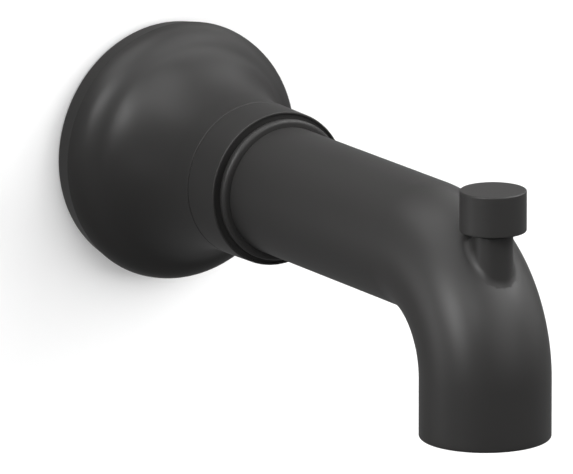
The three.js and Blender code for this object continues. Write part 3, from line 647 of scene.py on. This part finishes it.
class BATHSPOUT_OT_bell(Operator):
    """Adds the escutcheon bell and the foam gasket in its foot"""

    bl_idname = "bath_spout.bell"
    bl_label = "Escutcheon bell"

    def execute(self, context):
        sizes = context.scene.spout_sizes
        rim, _, length = reach_of("escutcheon_bell")
        neck = reach_of("collar_ring")[0]
        rim_back = rim - sizes.rim_flare
        gasket, gasket_back, gasket_front = reach_of("wall_gasket")
        gasket_inner = gasket - sizes.gasket_width
        groove_front = gasket_front + GAP
        land = 1.4 * MM  # of the foot, inside the gasket's groove
        foot_inner = gasket_inner - GAP - land
        curve = bell_curve(sizes, rim, neck, length)
        inside = moved_in(curve, sizes.bell_wall)
        edge = 0.25 * MM
        corners = [
            (rim_back, 0, edge),
            (rim, sizes.rim_depth, 0.3 * MM),
            *((point.x, point.z, 0) for point in curve[1:]),
            (neck, length, sizes.seam_round),
            (neck - sizes.bell_wall, length, edge),
            *((point.x, point.z, 0) for point in reversed(inside)),
            (rim_back - sizes.bell_wall, sizes.foot_depth, 0),
            (foot_inner, sizes.foot_depth, edge),
            (foot_inner, 0, edge),
            (gasket_inner - GAP, 0, 0.1 * MM),
            (gasket_inner - GAP, groove_front, 0),
            (gasket + GAP, groove_front, 0),
            (gasket + GAP, 0, 0.1 * MM),
        ]
        piece(faced_out(turned(sizes.fine, corners)), "escutcheon_bell", "matt black coat")
        ring = plain(gasket_inner, gasket, gasket_back, gasket_front, 0.35 * MM)
        piece(faced_out(turned(sizes.fine, ring)), "wall_gasket", "closed-cell foam")
        return {"FINISHED"}


class BATHSPOUT_OT_collar(Operator):
    """Adds the collar ring, its set screw and the bead ring"""

    bl_idname = "bath_spout.collar"
    bl_label = "Collar and bead"

    def execute(self, context):
        sizes = context.scene.spout_sizes
        neck, stub_back, front = reach_of("collar_ring")
        bead, bead_back, bead_front = reach_of("bead_ring")
        length = reach_of("escutcheon_bell")[2]
        back = length + GAP
        bore = Bend(sizes).spigot + GAP
        stub = neck - sizes.bell_wall - GAP
        lip = neck - sizes.collar_taper
        corners = [
            (bore, stub_back, 0.2 * MM),
            (stub, stub_back, 0.3 * MM),
            (stub, back, 0),
            (neck, back, sizes.seam_round),
            (lip, front, sizes.collar_round),
            (lip - sizes.collar_lip, front, 0.12 * MM),
            (lip - sizes.collar_lip, front - sizes.collar_recess, 0),
            (bore, front - sizes.collar_recess, 0.2 * MM),
        ]
        ring = faced_out(turned(sizes.fine, corners))
        low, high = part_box("collar_set_screw")
        screw_radius = (high.x - low.x) / 2
        below, above = 3 * MM, 1 * MM  # the drill's reach past the screw
        hole = turned(sizes.small, plain(0, screw_radius + GAP, low.z - below, high.z + above))
        placed(hole, (0, (low.y + high.y) / 2, 0))
        drilled = after_modifiers(
            ring, [("BOOLEAN", {"operation": "DIFFERENCE", "solver": "EXACT", "object": hole})]
        )
        piece(drilled, "collar_ring", "matt black coat")
        piece(self.set_screw(sizes, low, high), "collar_set_screw", "steel screw")
        corners = [
            (bore, bead_back, 0.2 * MM),
            (bead, bead_back, sizes.bead_round),
            (bead, bead_front, sizes.bead_round),
            (bore, bead_front, 0.2 * MM),
        ]
        piece(faced_out(turned(sizes.fine, corners)), "bead_ring", "matt black coat")
        return {"FINISHED"}

    def set_screw(self, sizes, low, high):
        """A cup of a screw with a hexagonal socket, open downwards."""
        radius = (high.x - low.x) / 2
        socket, depth, tip = 1.44 * MM, 2 * MM, 0.5 * MM  # of the hexagonal socket
        floor = low.z + depth
        corners = [
            (0, floor + tip, 0),
            (socket, floor, 0),
            (socket, low.z + 0.25 * MM, 0),
            (socket + 0.25 * MM, low.z, 0),
            (radius, low.z, 0.3 * MM),
            (radius, high.z, 0.3 * MM),
            (0, high.z, 0),
        ]
        screw = turned(sizes.small, corners)
        heights = (low.z, floor + 0.1 * MM)
        hexed(screw, (0.1 * MM, socket + 0.1 * MM), heights, socket * math.cos(math.pi / 6))
        return placed(screw, (0, (low.y + high.y) / 2, 0))


class BATHSPOUT_OT_body(Operator):
    """Adds the spout's body with the filleted boss on its bend"""

    bl_idname = "bath_spout.body"
    bl_label = "Spout body"

    def execute(self, context):
        sizes = context.scene.spout_sizes
        bend = Bend(sizes)
        axis = column_of("lift_rod")[3]
        above = 0.05 * MM  # the boss stands this far above the bushing in it
        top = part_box("stem_bushing")[1].z + above
        bore_radius = sizes.boss_radius - sizes.boss_wall
        bore_low = bend.height(bend.radius, 0, -axis.y) - 4 * sizes.body_wall
        bore = placed(turned(sizes.small, plain(0, bore_radius, bore_low, top + 1 * MM)), axis)
        boss = self.boss(sizes, bend, axis, top)
        body = after_modifiers(
            self.skin(sizes, bend),
            [
                ("SOLIDIFY", {"thickness": sizes.body_wall, "offset": -1, "use_even_offset": True}),
                ("BOOLEAN", {"operation": "UNION", "solver": "EXACT", "object": boss}),
                ("BOOLEAN", {"operation": "DIFFERENCE", "solver": "EXACT", "object": bore}),
            ],
        )
        for radius, rounding in (
            (bend.radius, sizes.lip_round),
            (bend.radius - sizes.body_wall, sizes.mouth_round),
        ):
            rounded(body, self.lip_edges(body, bend, radius), rounding, "EDGES")
        piece(body, "spout_body", "matt black coat")
        return {"FINISHED"}

    def skin(self, sizes, bend):
        """The outer skin, from the lip up the leg, round the bend and back along the tube."""
        bm = bmesh.new()
        ring = bmesh.ops.create_circle(bm, cap_ends=False, segments=sizes.fine, radius=bend.radius)["verts"]
        bmesh.ops.translate(bm, vec=(0, -bend.reach, bend.lip), verts=ring)
        edges = pulled(bm, bm.edges[:], (0, 0, 2 * sizes.lip_round))
        leg_top = -sizes.bend_radius
        edges = pulled(bm, edges, (0, 0, leg_top - bend.lip - 2 * sizes.lip_round))
        turned_up = swept(bm, edges, (0, -bend.start, leg_top), (-1, 0, 0), math.pi / 2, BEND_STEPS)
        edges = [item for item in turned_up if isinstance(item, bmesh.types.BMEdge)]
        tube_back = reach_of("bead_ring")[2] + GAP
        centre = (0, -tube_back, 0)
        edges = pulled(bm, edges, (0, bend.start - tube_back, 0), bend.back_radius / bend.radius, centre)
        edges = pulled(bm, edges, (0, 0, 0), bend.spigot / bend.back_radius, centre)
        pulled(bm, edges, (0, tube_back - bend.spigot_back, 0))
        bmesh.ops.recalc_face_normals(bm, faces=bm.faces[:])
        bm.faces.ensure_lookup_table()
        first = bm.faces[0]
        outward = first.calc_center_median() - Vector((0, -bend.reach, 0))
        if first.normal.x * outward.x + first.normal.y * outward.y < 0:
            bmesh.ops.reverse_faces(bm, faces=bm.faces[:])
        return bm

    def boss(self, sizes, bend, axis, top):
        """The boss: a post whose foot runs out into the bend through a rolled fillet."""
        bm = bmesh.new()
        edge, edge_steps, foot_steps = 0.4 * MM, 4, 14
        bmesh.ops.create_circle(bm, cap_ends=True, segments=96, radius=sizes.boss_radius - edge)
        placed(bm, axis + Vector((0, 0, top)))
        edges = [item for item in bm.edges if item.is_boundary]
        for i in range(1, edge_steps + 1):
            angle = i / edge_steps * math.pi / 2
            radius = sizes.boss_radius - edge * (1 - math.sin(angle))
            edges = self.reshaped(bm, edges, axis, radius, top - edge * (1 - math.cos(angle)))
        edges = self.reshaped(bm, edges, axis, sizes.boss_radius, top - 2 * edge)
        for i in range(foot_steps + 1):
            edges = pulled(bm, edges)
            for vert in {vert for item in edges for vert in item.verts}:
                vert.co = self.foot(sizes, bend, axis, vert.co, i / foot_steps, top - 2 * edge)
        edges = pulled(bm, edges)
        root = 0.4 * sizes.body_wall  # how deep the boss is set in the wall
        for vert in {vert for item in edges for vert in item.verts}:
            vert.co -= bend.outward(vert.co) * root
        edges = pulled(bm, edges)
        middle = bend.height(bend.radius, 0, -axis.y) - 0.5 * sizes.body_wall
        verts = list({vert for item in edges for vert in item.verts})
        bmesh.ops.pointmerge(bm, verts=verts, merge_co=axis + Vector((0, 0, middle)))
        bmesh.ops.recalc_face_normals(bm, faces=bm.faces[:])
        return bm

    def reshaped(self, bm, edges, axis, radius, height):
        """Pulls a ring to a radius and a height round an axis."""
        edges = pulled(bm, edges)
        for vert in {vert for item in edges for vert in item.verts}:
            spoke = vert.co - axis
            spoke.z = 0
            vert.co = axis + spoke.normalized() * radius + Vector((0, 0, height))
        return edges

    def ball(self, sizes, bend, axis, spoke, wanted, highest):
        """The ball's centre and radius. It is smaller than wanted where the boss is too short for it."""

        def centre(radius):
            place = axis + spoke * (sizes.boss_radius + radius)
            place.z = bend.height(bend.radius + radius, place.x, -place.y)
            return place

        if centre(wanted).z <= highest:
            return centre(wanted), wanted
        least, most, halvings = 0, wanted, 24
        for _ in range(halvings):
            middle = (least + most) / 2
            if centre(middle).z <= highest:
                least = middle
            else:
                most = middle
        return centre(least), least

    def foot(self, sizes, bend, axis, place, along, highest):
        """A point of the fillet that a ball leaves as it rolls in the corner between boss and bend."""
        spoke = place - axis
        spoke.z = 0
        spoke.normalize()
        front = max(0, -spoke.y) ** 2
        wanted = sizes.boss_fillet + front * (sizes.boss_front_fillet - sizes.boss_fillet)
        centre, ball = self.ball(sizes, bend, axis, spoke, wanted, highest)
        down = -bend.outward(centre)
        sunk = 0.02 * MM if along == 1 else 0  # the last ring lies just under the bend's skin
        return centre + (-spoke).slerp(down, along) * ball + down * sunk

    def lip_edges(self, bm, bend, radius):
        """The ring of edges at the lip, at a radius from the outlet's axis."""

        def on_ring(vert):
            out_of = math.hypot(vert.co.x, vert.co.y + bend.reach)
            return abs(vert.co.z - bend.lip) < 0.01 * MM and abs(out_of - radius) < 0.1 * MM

        return [item for item in bm.edges if all(on_ring(vert) for vert in item.verts)]


class BATHSPOUT_OT_inlet(Operator):
    """Adds the threaded brass adapter, its two O-rings and the seal at the bottom of its socket"""

    bl_idname = "bath_spout.inlet"
    bl_label = "Inlet adapter"

    def execute(self, context):
        sizes = context.scene.spout_sizes
        flange, back, nose = reach_of("inlet_adapter")
        seal, seal_back, seal_front = reach_of("pipe_seal")
        barrel, rear_back, rear_front = reach_of("adapter_oring_rear")
        front_back, front_front = reach_of("adapter_oring_front")[1:]
        flange_front = -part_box("spout_body")[1].y - GAP
        flange_back = flange_front - 4.2 * MM
        thickness = (rear_front - rear_back) / 2
        groove = barrel - 2 * thickness - GAP
        socket = seal + GAP
        stop = seal_front + GAP
        bore, tube_socket, seal_bore = 4.6 * MM, 6.3 * MM, 5.2 * MM
        tube_stop = nose - 9 * MM
        tube_oring, tube_oring_back, _ = reach_of("waterway_oring_inlet")
        pocket, pocket_back = tube_oring + GAP, tube_oring_back - GAP
        hexagon, chamfer, slope = 15.6 * MM, 0.9 * MM, 1.5 * MM
        corners = [
            (socket + chamfer, back, 0),
            (hexagon - slope, back, 0.1 * MM),
            (hexagon, back + chamfer, 0),
            (hexagon, flange_back, 0),
            (flange, flange_back, 0.3 * MM),
            (flange, flange_front, 0.3 * MM),
            (barrel, flange_front, 0),
            *self.groove(barrel, groove, rear_back - GAP, rear_front + GAP),
            *self.groove(barrel, groove, front_back - GAP, front_front + GAP),
            (barrel, nose, 0.6 * MM),
            (pocket, nose, 0.2 * MM),
            (pocket, pocket_back, 0),
            (tube_socket, pocket_back, 0),
            (tube_socket, tube_stop, 0),
            (bore, tube_stop, 0),
            (bore, stop, 0),
            (socket, stop, 0),
            *self.thread(socket, seal_back - 1 * MM, back + 1 * MM),
        ]
        adapter = turned(96, corners)
        zone = (hexagon - 2.2 * MM, hexagon + 0.01 * MM)
        hexed(adapter, zone, (back - GAP, flange_back + 0.01 * MM), hexagon * math.cos(math.pi / 6))
        piece(faced_out(adapter), "inlet_adapter", "brass on the wall axis")
        ring = plain(seal_bore, seal, seal_back, seal_front, 0.3 * MM)
        piece(faced_out(turned(sizes.small, ring)), "pipe_seal", "black rubber")
        for node, start, end in (
            ("adapter_oring_rear", rear_back, rear_front),
            ("adapter_oring_front", front_back, front_front),
        ):
            ring = hoop(sizes.fine, barrel - thickness, (start + end) / 2, thickness)
            piece(faced_out(ring), node, "black rubber")
        return {"FINISHED"}

    def groove(self, outer, floor, start, end):
        edge = 0.15 * MM
        return [(outer, start, edge), (floor, start, 0), (floor, end, 0), (outer, end, edge)]

    def thread(self, crest, start, end):
        """The ridges of the pipe thread in the socket, from its inner end to its mouth."""
        pitch, depth = 1.814 * MM, 0.8 * MM
        # a ridge's points: how deep each is cut, and how far through the pitch it comes
        shape = ((0, 0.15), (depth, 0.5), (depth, 0.6), (0, 0.95))
        corners = [(crest, start, 0)]
        for i in range(int((start - end) / pitch)):
            corners += [(crest + cut, start - i * pitch - part * pitch, 0) for cut, part in shape]
        return corners


class BATHSPOUT_OT_diverter(Operator):
    """Adds the gate's washer and screw, and the waterway's two O-rings"""

    bl_idname = "bath_spout.diverter"
    bl_label = "Diverter"

    def execute(self, context):
        sizes = context.scene.spout_sizes
        for node in ("waterway_oring_inlet", "waterway_oring_outlet"):
            radius, back, front = reach_of(node)
            thickness = (front - back) / 2
            low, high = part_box(node)
            ring = faced_out(hoop(sizes.small, radius - thickness, (back + front) / 2, thickness))
            piece(placed(ring, (0, 0, (low.z + high.z) / 2)), node, "black rubber")
        radius, back, front = reach_of("gate_washer")
        head, screw_back, screw_front = reach_of("gate_screw")
        low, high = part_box("gate_washer")
        centre = (0, 0, (low.z + high.z) / 2)
        head_depth, shank = 1.1 * MM, 1.1 * MM
        pocket = head + SLIDE_GAP
        corners = [
            (pocket, back, 0),
            (radius, back, 0.4 * MM),
            (radius, front, 0.3 * MM),
            (shank + SLIDE_GAP, front, 0),
            (shank + SLIDE_GAP, back + head_depth + GAP, 0),
            (pocket, back + head_depth + GAP, 0),
        ]
        piece(placed(faced_out(turned(sizes.small, corners)), centre), "gate_washer", "black rubber")
        corners = [
            (0, screw_back, 0),
            (head, screw_back, 0.35 * MM),
            (head, screw_back + head_depth, 0.1 * MM),
            (shank, screw_back + head_depth, 0),
            (shank, screw_front, 0.3 * MM),
            (0, screw_front, 0),
        ]
        piece(placed(faced_out(turned(sizes.small, corners)), centre), "gate_screw", "steel screw")
        return {"FINISHED"}


class BATHSPOUT_OT_stem(Operator):
    """Adds the lift rod with its clip and spring, and the bushing, seal and retainer that it runs in"""

    bl_idname = "bath_spout.stem"
    bl_label = "Lift rod and bushing"

    def execute(self, context):
        sizes = context.scene.spout_sizes
        foot, low, high, axis = column_of("lift_rod")
        rod = foot - ROD_FOOT_STEP
        hole = rod + SLIDE_GAP
        foot_top = low + 1.6 * MM
        corners = [
            (0, low, 0),
            (foot, low, 0.2 * MM),
            (foot, foot_top, 0.2 * MM),
            (rod, foot_top, 0),
            (rod, high, 0.3 * MM),
            (0, high, 0),
        ]
        piece(placed(turned(sizes.small, corners), axis), "lift_rod", "brass on the rod axis")
        radius, low, high, _ = column_of("rod_clip")
        clip = turned(sizes.small, plain(hole, radius, low, high, 0.15 * MM))
        piece(placed(clip, axis), "rod_clip", "steel on the rod axis")
        radius, low, high, _ = column_of("seal_retainer")
        washer = turned(sizes.small, plain(hole, radius, low, high, 0.1 * MM))
        piece(placed(washer, axis), "seal_retainer", "steel on the rod axis")
        radius, low, high, _ = column_of("stem_seal")
        thickness = (high - low) / 2
        ring = hoop(sizes.small, hole + thickness, (low + high) / 2, thickness)
        piece(placed(ring, axis), "stem_seal", "black rubber")
        seal_top = high + GAP
        radius, low, high, _ = column_of("stem_bushing")
        pocket = hole + 2 * thickness + GAP
        corners = [
            (pocket, low, 0.2 * MM),
            (radius, low, 0.3 * MM),
            (radius, high, 0.25 * MM),
            (hole, high, 0.3 * MM),
            (hole, seal_top, 0),
            (pocket, seal_top, 0),
        ]
        piece(placed(turned(sizes.small, corners), axis), "stem_bushing", "brass on the rod axis")
        self.spring(axis)
        return {"FINISHED"}

    def spring(self, axis):
        """Coils the return spring, which on the real spout shortens as the knob is pulled up; this coil keeps
        one length.
        """
        low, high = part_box("return_spring")
        wire_radius, coil_radius, turns, steps = 0.35 * MM, 2.85 * MM, 4, 36
        bm = bmesh.new()
        start = Matrix.Translation((coil_radius, 0, low.z + wire_radius))
        section = start @ Matrix.Rotation(math.pi / 2, 4, "X")
        bmesh.ops.create_circle(bm, cap_ends=False, segments=12, radius=wire_radius, matrix=section)
        rise = (high.z - low.z - 2 * wire_radius) / (turns * steps)
        whole = bm.verts[:] + bm.edges[:]
        swept(bm, whole, (0, 0, 0), (0, 0, 1), 2 * math.pi * turns, turns * steps, rise)
        bmesh.ops.holes_fill(bm, edges=bm.edges[:], sides=0)
        bmesh.ops.recalc_face_normals(bm, faces=bm.faces[:])
        spring = piece(placed(bm, axis), "return_spring", "steel on the rod axis")
        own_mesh(spring)


class BATHSPOUT_OT_knob(Operator):
    """Adds the diverter knob and the threaded insert in it"""

    bl_idname = "bath_spout.knob"
    bl_label = "Diverter knob"

    def execute(self, context):
        sizes = context.scene.spout_sizes
        radius, low, high, axis = column_of("diverter_knob")
        insert, insert_low, insert_high, _ = column_of("knob_insert")
        rod = column_of("lift_rod")[0] - ROD_FOOT_STEP
        rod_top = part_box("lift_rod")[1].z
        pocket = insert + GAP
        outline = [
            (0, high, 0),
            (radius, high, sizes.knob_round),
            (radius, low, sizes.knob_round),
            (pocket, low, 0.2 * MM),
            (pocket, insert_high + GAP, 0),
            (0, insert_high + GAP, 0),
        ]
        knob = turned(sizes.fine, outline)
        piece(placed(knob, axis), "diverter_knob", "matt black coat")
        hole = rod + SLIDE_GAP
        outline = [
            (0, insert_high, 0),
            (insert, insert_high, 0.2 * MM),
            (insert, insert_low, 0.2 * MM),
            (hole, insert_low, 0.2 * MM),
            (hole, rod_top + GAP, 0),
            (0, rod_top + GAP, 0),
        ]
        piece(placed(turned(sizes.small, outline), axis), "knob_insert", "brass on the rod axis")
        return {"FINISHED"}


class BATHSPOUT_OT_outlet(Operator):
    """Adds the outlet insert: its ring, its O-ring and the flow straightener"""

    bl_idname = "bath_spout.outlet"
    bl_label = "Outlet insert"

    def execute(self, context):
        sizes = context.scene.spout_sizes
        radius, low, high, axis = column_of("outlet_ring")
        oring, oring_low, oring_high, _ = column_of("outlet_oring")
        thickness = (oring_high - oring_low) / 2
        wall, lip = 2.7 * MM, 1.2 * MM
        bore = radius - wall
        groove = radius - 2 * thickness
        corners = [
            (bore - lip, low, 0.35 * MM),
            (radius, low, 0.4 * MM),
            (radius, oring_low - GAP, 0.1 * MM),
            (groove, oring_low - GAP, 0),
            (groove, oring_high + GAP, 0),
            (radius, oring_high + GAP, 0.1 * MM),
            (radius, high, 0.4 * MM),
            (bore, high, 0.4 * MM),
            (bore, low + lip, 0),
            (bore - lip, low + lip, 0.2 * MM),
        ]
        piece(placed(turned(sizes.fine, corners), axis), "outlet_ring", "grey plastic")
        ring = hoop(sizes.fine, oring - thickness, (oring_low + oring_high) / 2, thickness)
        piece(placed(ring, axis), "outlet_oring", "black rubber")
        self.straightener(sizes)
        return {"FINISHED"}

    def straightener(self, sizes):
        """Two rings and a hub joined by six vanes."""
        radius, low, high, axis = column_of("flow_straightener")
        blade, hub, middle, edge = 1.2 * MM, 2.5 * MM, 9.7 * MM, 0.25 * MM
        bm = turned(
            sizes.fine,
            plain(0, hub, low, high, edge),
            plain(middle - blade, middle, low, high, edge),
            plain(radius - blade, radius, low, high, edge),
        )
        length = radius - blade / 2 - hub / 2
        for i in range(6):
            place = (
                Matrix.Rotation(math.pi / 3 * i, 4, "Z")
                @ Matrix.Translation((hub / 2 + length / 2, 0, (low + high) / 2))
                @ Matrix.Diagonal((length, 0.8 * blade, high - low - 0.2 * MM, 1))
            )
            vane = bmesh.ops.create_cube(bm, size=1, matrix=place)["verts"]
            rounded(bm, list({item for vert in vane for item in vert.link_edges}), 0.2 * MM, "EDGES", 3)
        piece(placed(bm, axis), "flow_straightener", "white acetal")


# ---- Studio --------------------------------------------------------------------------------------------

# Each lamp is a soft square panel that faces a point on the spout's axis: its name, its azimuth and elevation
# as seen from that point, in degrees, how far out the point is, the lamp's distance and size, the angle that
# its grid keeps the light in, in degrees, and its power in watts. The wall has its own lamps.
SPOUT_LAMPS = (
    ("top left panel", -110, 72, 0.1, 1.5, 1.3, 180, 16.5),
    ("high right panel", 40, 50, 0.1, 1.5, 1.3, 180, 15.5),
    ("front panel", 10, 30, 0.1, 1.5, 1.3, 180, 9.4),
    ("side right panel", 75, 25, 0.1, 1.5, 1.3, 180, 6.5),
    ("back right panel", 110, 45, 0.1, 1.5, 1.3, 180, 5.6),
    ("bend left box", -78, 20, 0.2, 0.45, 0.2, 30, 0.097),
    ("bend right box", 75, 45, 0.2, 0.45, 0.2, 30, 0.096),
    ("bend back box", -115, 0, 0.2, 0.45, 0.2, 30, 0.024),
    ("escutcheon left box", -65, 35, 0.01, 0.5, 0.3, 25, 0.135),
    ("escutcheon front box", -40, 35, 0.01, 0.5, 0.3, 25, 0.087),
)
WALL_LAMPS = (
    ("wall right panel", 48, 20, 0, 1.5, 1.5, 180, 21),
    ("wall front panel", 0, 30, 0, 1.5, 1.6, 180, 14),
    ("wall left panel", -50, -20, 0, 1.5, 1.5, 180, 12),
)


class BATHSPOUT_OT_stage(Operator):
    """Adds the studio: a pale wall and floor, soft lamps and the camera"""

    bl_idname = "bath_spout.stage"
    bl_label = "Studio"

    def execute(self, context):
        scene = context.scene
        studio = scene.studio_settings
        paint = studio_finish("studio paint", studio.wall)
        behind, below, board_half = 0.6 * MM, 0.6, 6
        upright = Matrix.Translation((0, behind, 0)) @ Matrix.Rotation(math.pi / 2, 4, "X")
        flat = Matrix.Translation((0, -board_half / 2, -below))
        boards = []
        for name, place in (("studio_wall", upright), ("studio_floor", flat)):
            bm = bmesh.new()
            bmesh.ops.create_grid(bm, x_segments=1, y_segments=1, size=board_half, matrix=place)
            board = made(bm, name)
            board.data.materials.append(paint)
            board.visible_shadow = False
            board.visible_diffuse = False
            board.visible_glossy = False
            boards.append(board)
        for lamps, state in ((SPOUT_LAMPS, "EXCLUDE"), (WALL_LAMPS, "INCLUDE")):
            lit = bpy.data.collections.new("studio boards " + state.lower() + "d")
            for board in boards:
                lit.objects.link(board)
            for entry in lit.collection_objects:
                entry.light_linking.link_state = state
            for lamp in lamps:
                self.lamp(scene, *lamp).light_linking.receiver_collection = lit
        self.daylight(scene, studio.ambient)
        self.camera(scene, studio)
        scene.view_settings.view_transform = "Standard"
        return {"FINISHED"}

    def lamp(self, scene, name, azimuth, elevation, out, distance, width, grid, power):
        """Hangs a soft panel round a point of the spout's axis, facing it."""
        lamp = bpy.data.lights.new(name, "AREA")
        lamp.size = width
        lamp.spread = math.radians(grid)
        lamp.energy = power
        holder = bpy.data.objects.new(name, lamp)
        away = towards(math.radians(azimuth), math.radians(elevation))
        holder.location = Vector((0, -out, 0)) + away * distance
        holder.rotation_euler = (-away).to_track_quat("-Z", "Y").to_euler()
        scene.collection.objects.link(holder)
        return holder

    def daylight(self, scene, strength):
        """Even light from all round, which the camera sees as white."""
        world = bpy.data.worlds.new("studio air")
        scene.world = world
        world.use_nodes = True
        nodes, links = world.node_tree.nodes, world.node_tree.links
        dim = nodes["Background"]
        dim.inputs["Color"].default_value = (1, 1, 1, 1)
        dim.inputs["Strength"].default_value = strength
        white = nodes.new("ShaderNodeBackground")
        white.inputs["Color"].default_value = (1, 1, 1, 1)
        seen = nodes.new("ShaderNodeMixShader")
        links.new(nodes.new("ShaderNodeLightPath").outputs["Is Camera Ray"], seen.inputs[0])
        links.new(dim.outputs[0], seen.inputs[1])
        links.new(white.outputs[0], seen.inputs[2])
        links.new(seen.outputs[0], nodes["World Output"].inputs["Surface"])

    def camera(self, scene, studio):
        """A camera far away with a long lens, so that the view is nearly free of perspective."""
        away = towards(studio.azimuth, studio.elevation)
        turned_to = (-away).to_track_quat("-Z", "Y")
        right, up = turned_to @ Vector((1, 0, 0)), turned_to @ Vector((0, 1, 0))
        aim = right * studio.aim_right - up * studio.aim_down + away * studio.aim_near
        camera = bpy.data.cameras.new("studio camera")
        camera.lens = camera.sensor_width * studio.distance / studio.view_width
        camera.clip_end = 2 * studio.distance
        holder = bpy.data.objects.new("studio camera", camera)
        holder.location = aim + away * studio.distance
        holder.rotation_euler = turned_to.to_euler()
        scene.collection.objects.link(holder)
        scene.camera = holder


def towards(azimuth, elevation):
    """The direction from the spout to something at an azimuth and an elevation, in radians."""
    return Vector(
        (
            math.sin(azimuth) * math.cos(elevation),
            -math.cos(azimuth) * math.cos(elevation),
            math.sin(elevation),
        )
    )


# ---- Add-on --------------------------------------------------------------------------------------------

STEPS = (
    BATHSPOUT_OT_finishes,
    BATHSPOUT_OT_bell,
    BATHSPOUT_OT_collar,
    BATHSPOUT_OT_body,
    BATHSPOUT_OT_inlet,
    BATHSPOUT_OT_diverter,
    BATHSPOUT_OT_stem,
    BATHSPOUT_OT_knob,
    BATHSPOUT_OT_outlet,
    BATHSPOUT_OT_stage,
)


class BATHSPOUT_PT_panel(Panel):
    """Lists the spout's sizes and finishes, and the steps that build it."""

    bl_idname = "BATHSPOUT_PT_panel"
    bl_label = "Bath Spout"
    bl_space_type = "VIEW_3D"
    bl_region_type = "UI"
    bl_category = "Bath Spout"

    def draw(self, context):
        for title, settings in (
            ("Sizes", context.scene.spout_sizes),
            ("Finishes", context.scene.spout_finish),
            ("Studio", context.scene.studio_settings),
        ):
            box = self.layout.box()
            box.label(text=title)
            for name in settings.__annotations__:
                box.prop(settings, name)
        for step in STEPS:
            self.layout.operator(step.bl_idname)


CLASSES = (SpoutSizes, SpoutFinish, StudioSettings, *STEPS, BATHSPOUT_PT_panel)


def register():
    for cls in CLASSES:
        bpy.utils.register_class(cls)
    bpy.types.Scene.spout_sizes = PointerProperty(type=SpoutSizes)
    bpy.types.Scene.spout_finish = PointerProperty(type=SpoutFinish)
    bpy.types.Scene.studio_settings = PointerProperty(type=StudioSettings)


def unregister():
    del bpy.types.Scene.studio_settings
    del bpy.types.Scene.spout_finish
    del bpy.types.Scene.spout_sizes
    for cls in reversed(CLASSES):
        bpy.utils.unregister_class(cls)


def main():
    """Builds the whole spout in its studio."""
    register()
    bpy.ops.bath_spout.finishes()
    bpy.ops.bath_spout.bell()
    bpy.ops.bath_spout.collar()
    bpy.ops.bath_spout.body()
    bpy.ops.bath_spout.inlet()
    bpy.ops.bath_spout.diverter()
    bpy.ops.bath_spout.stem()
    bpy.ops.bath_spout.knob()
    bpy.ops.bath_spout.outlet()
    bpy.ops.bath_spout.stage()


if __name__ == "__main__":
    main()
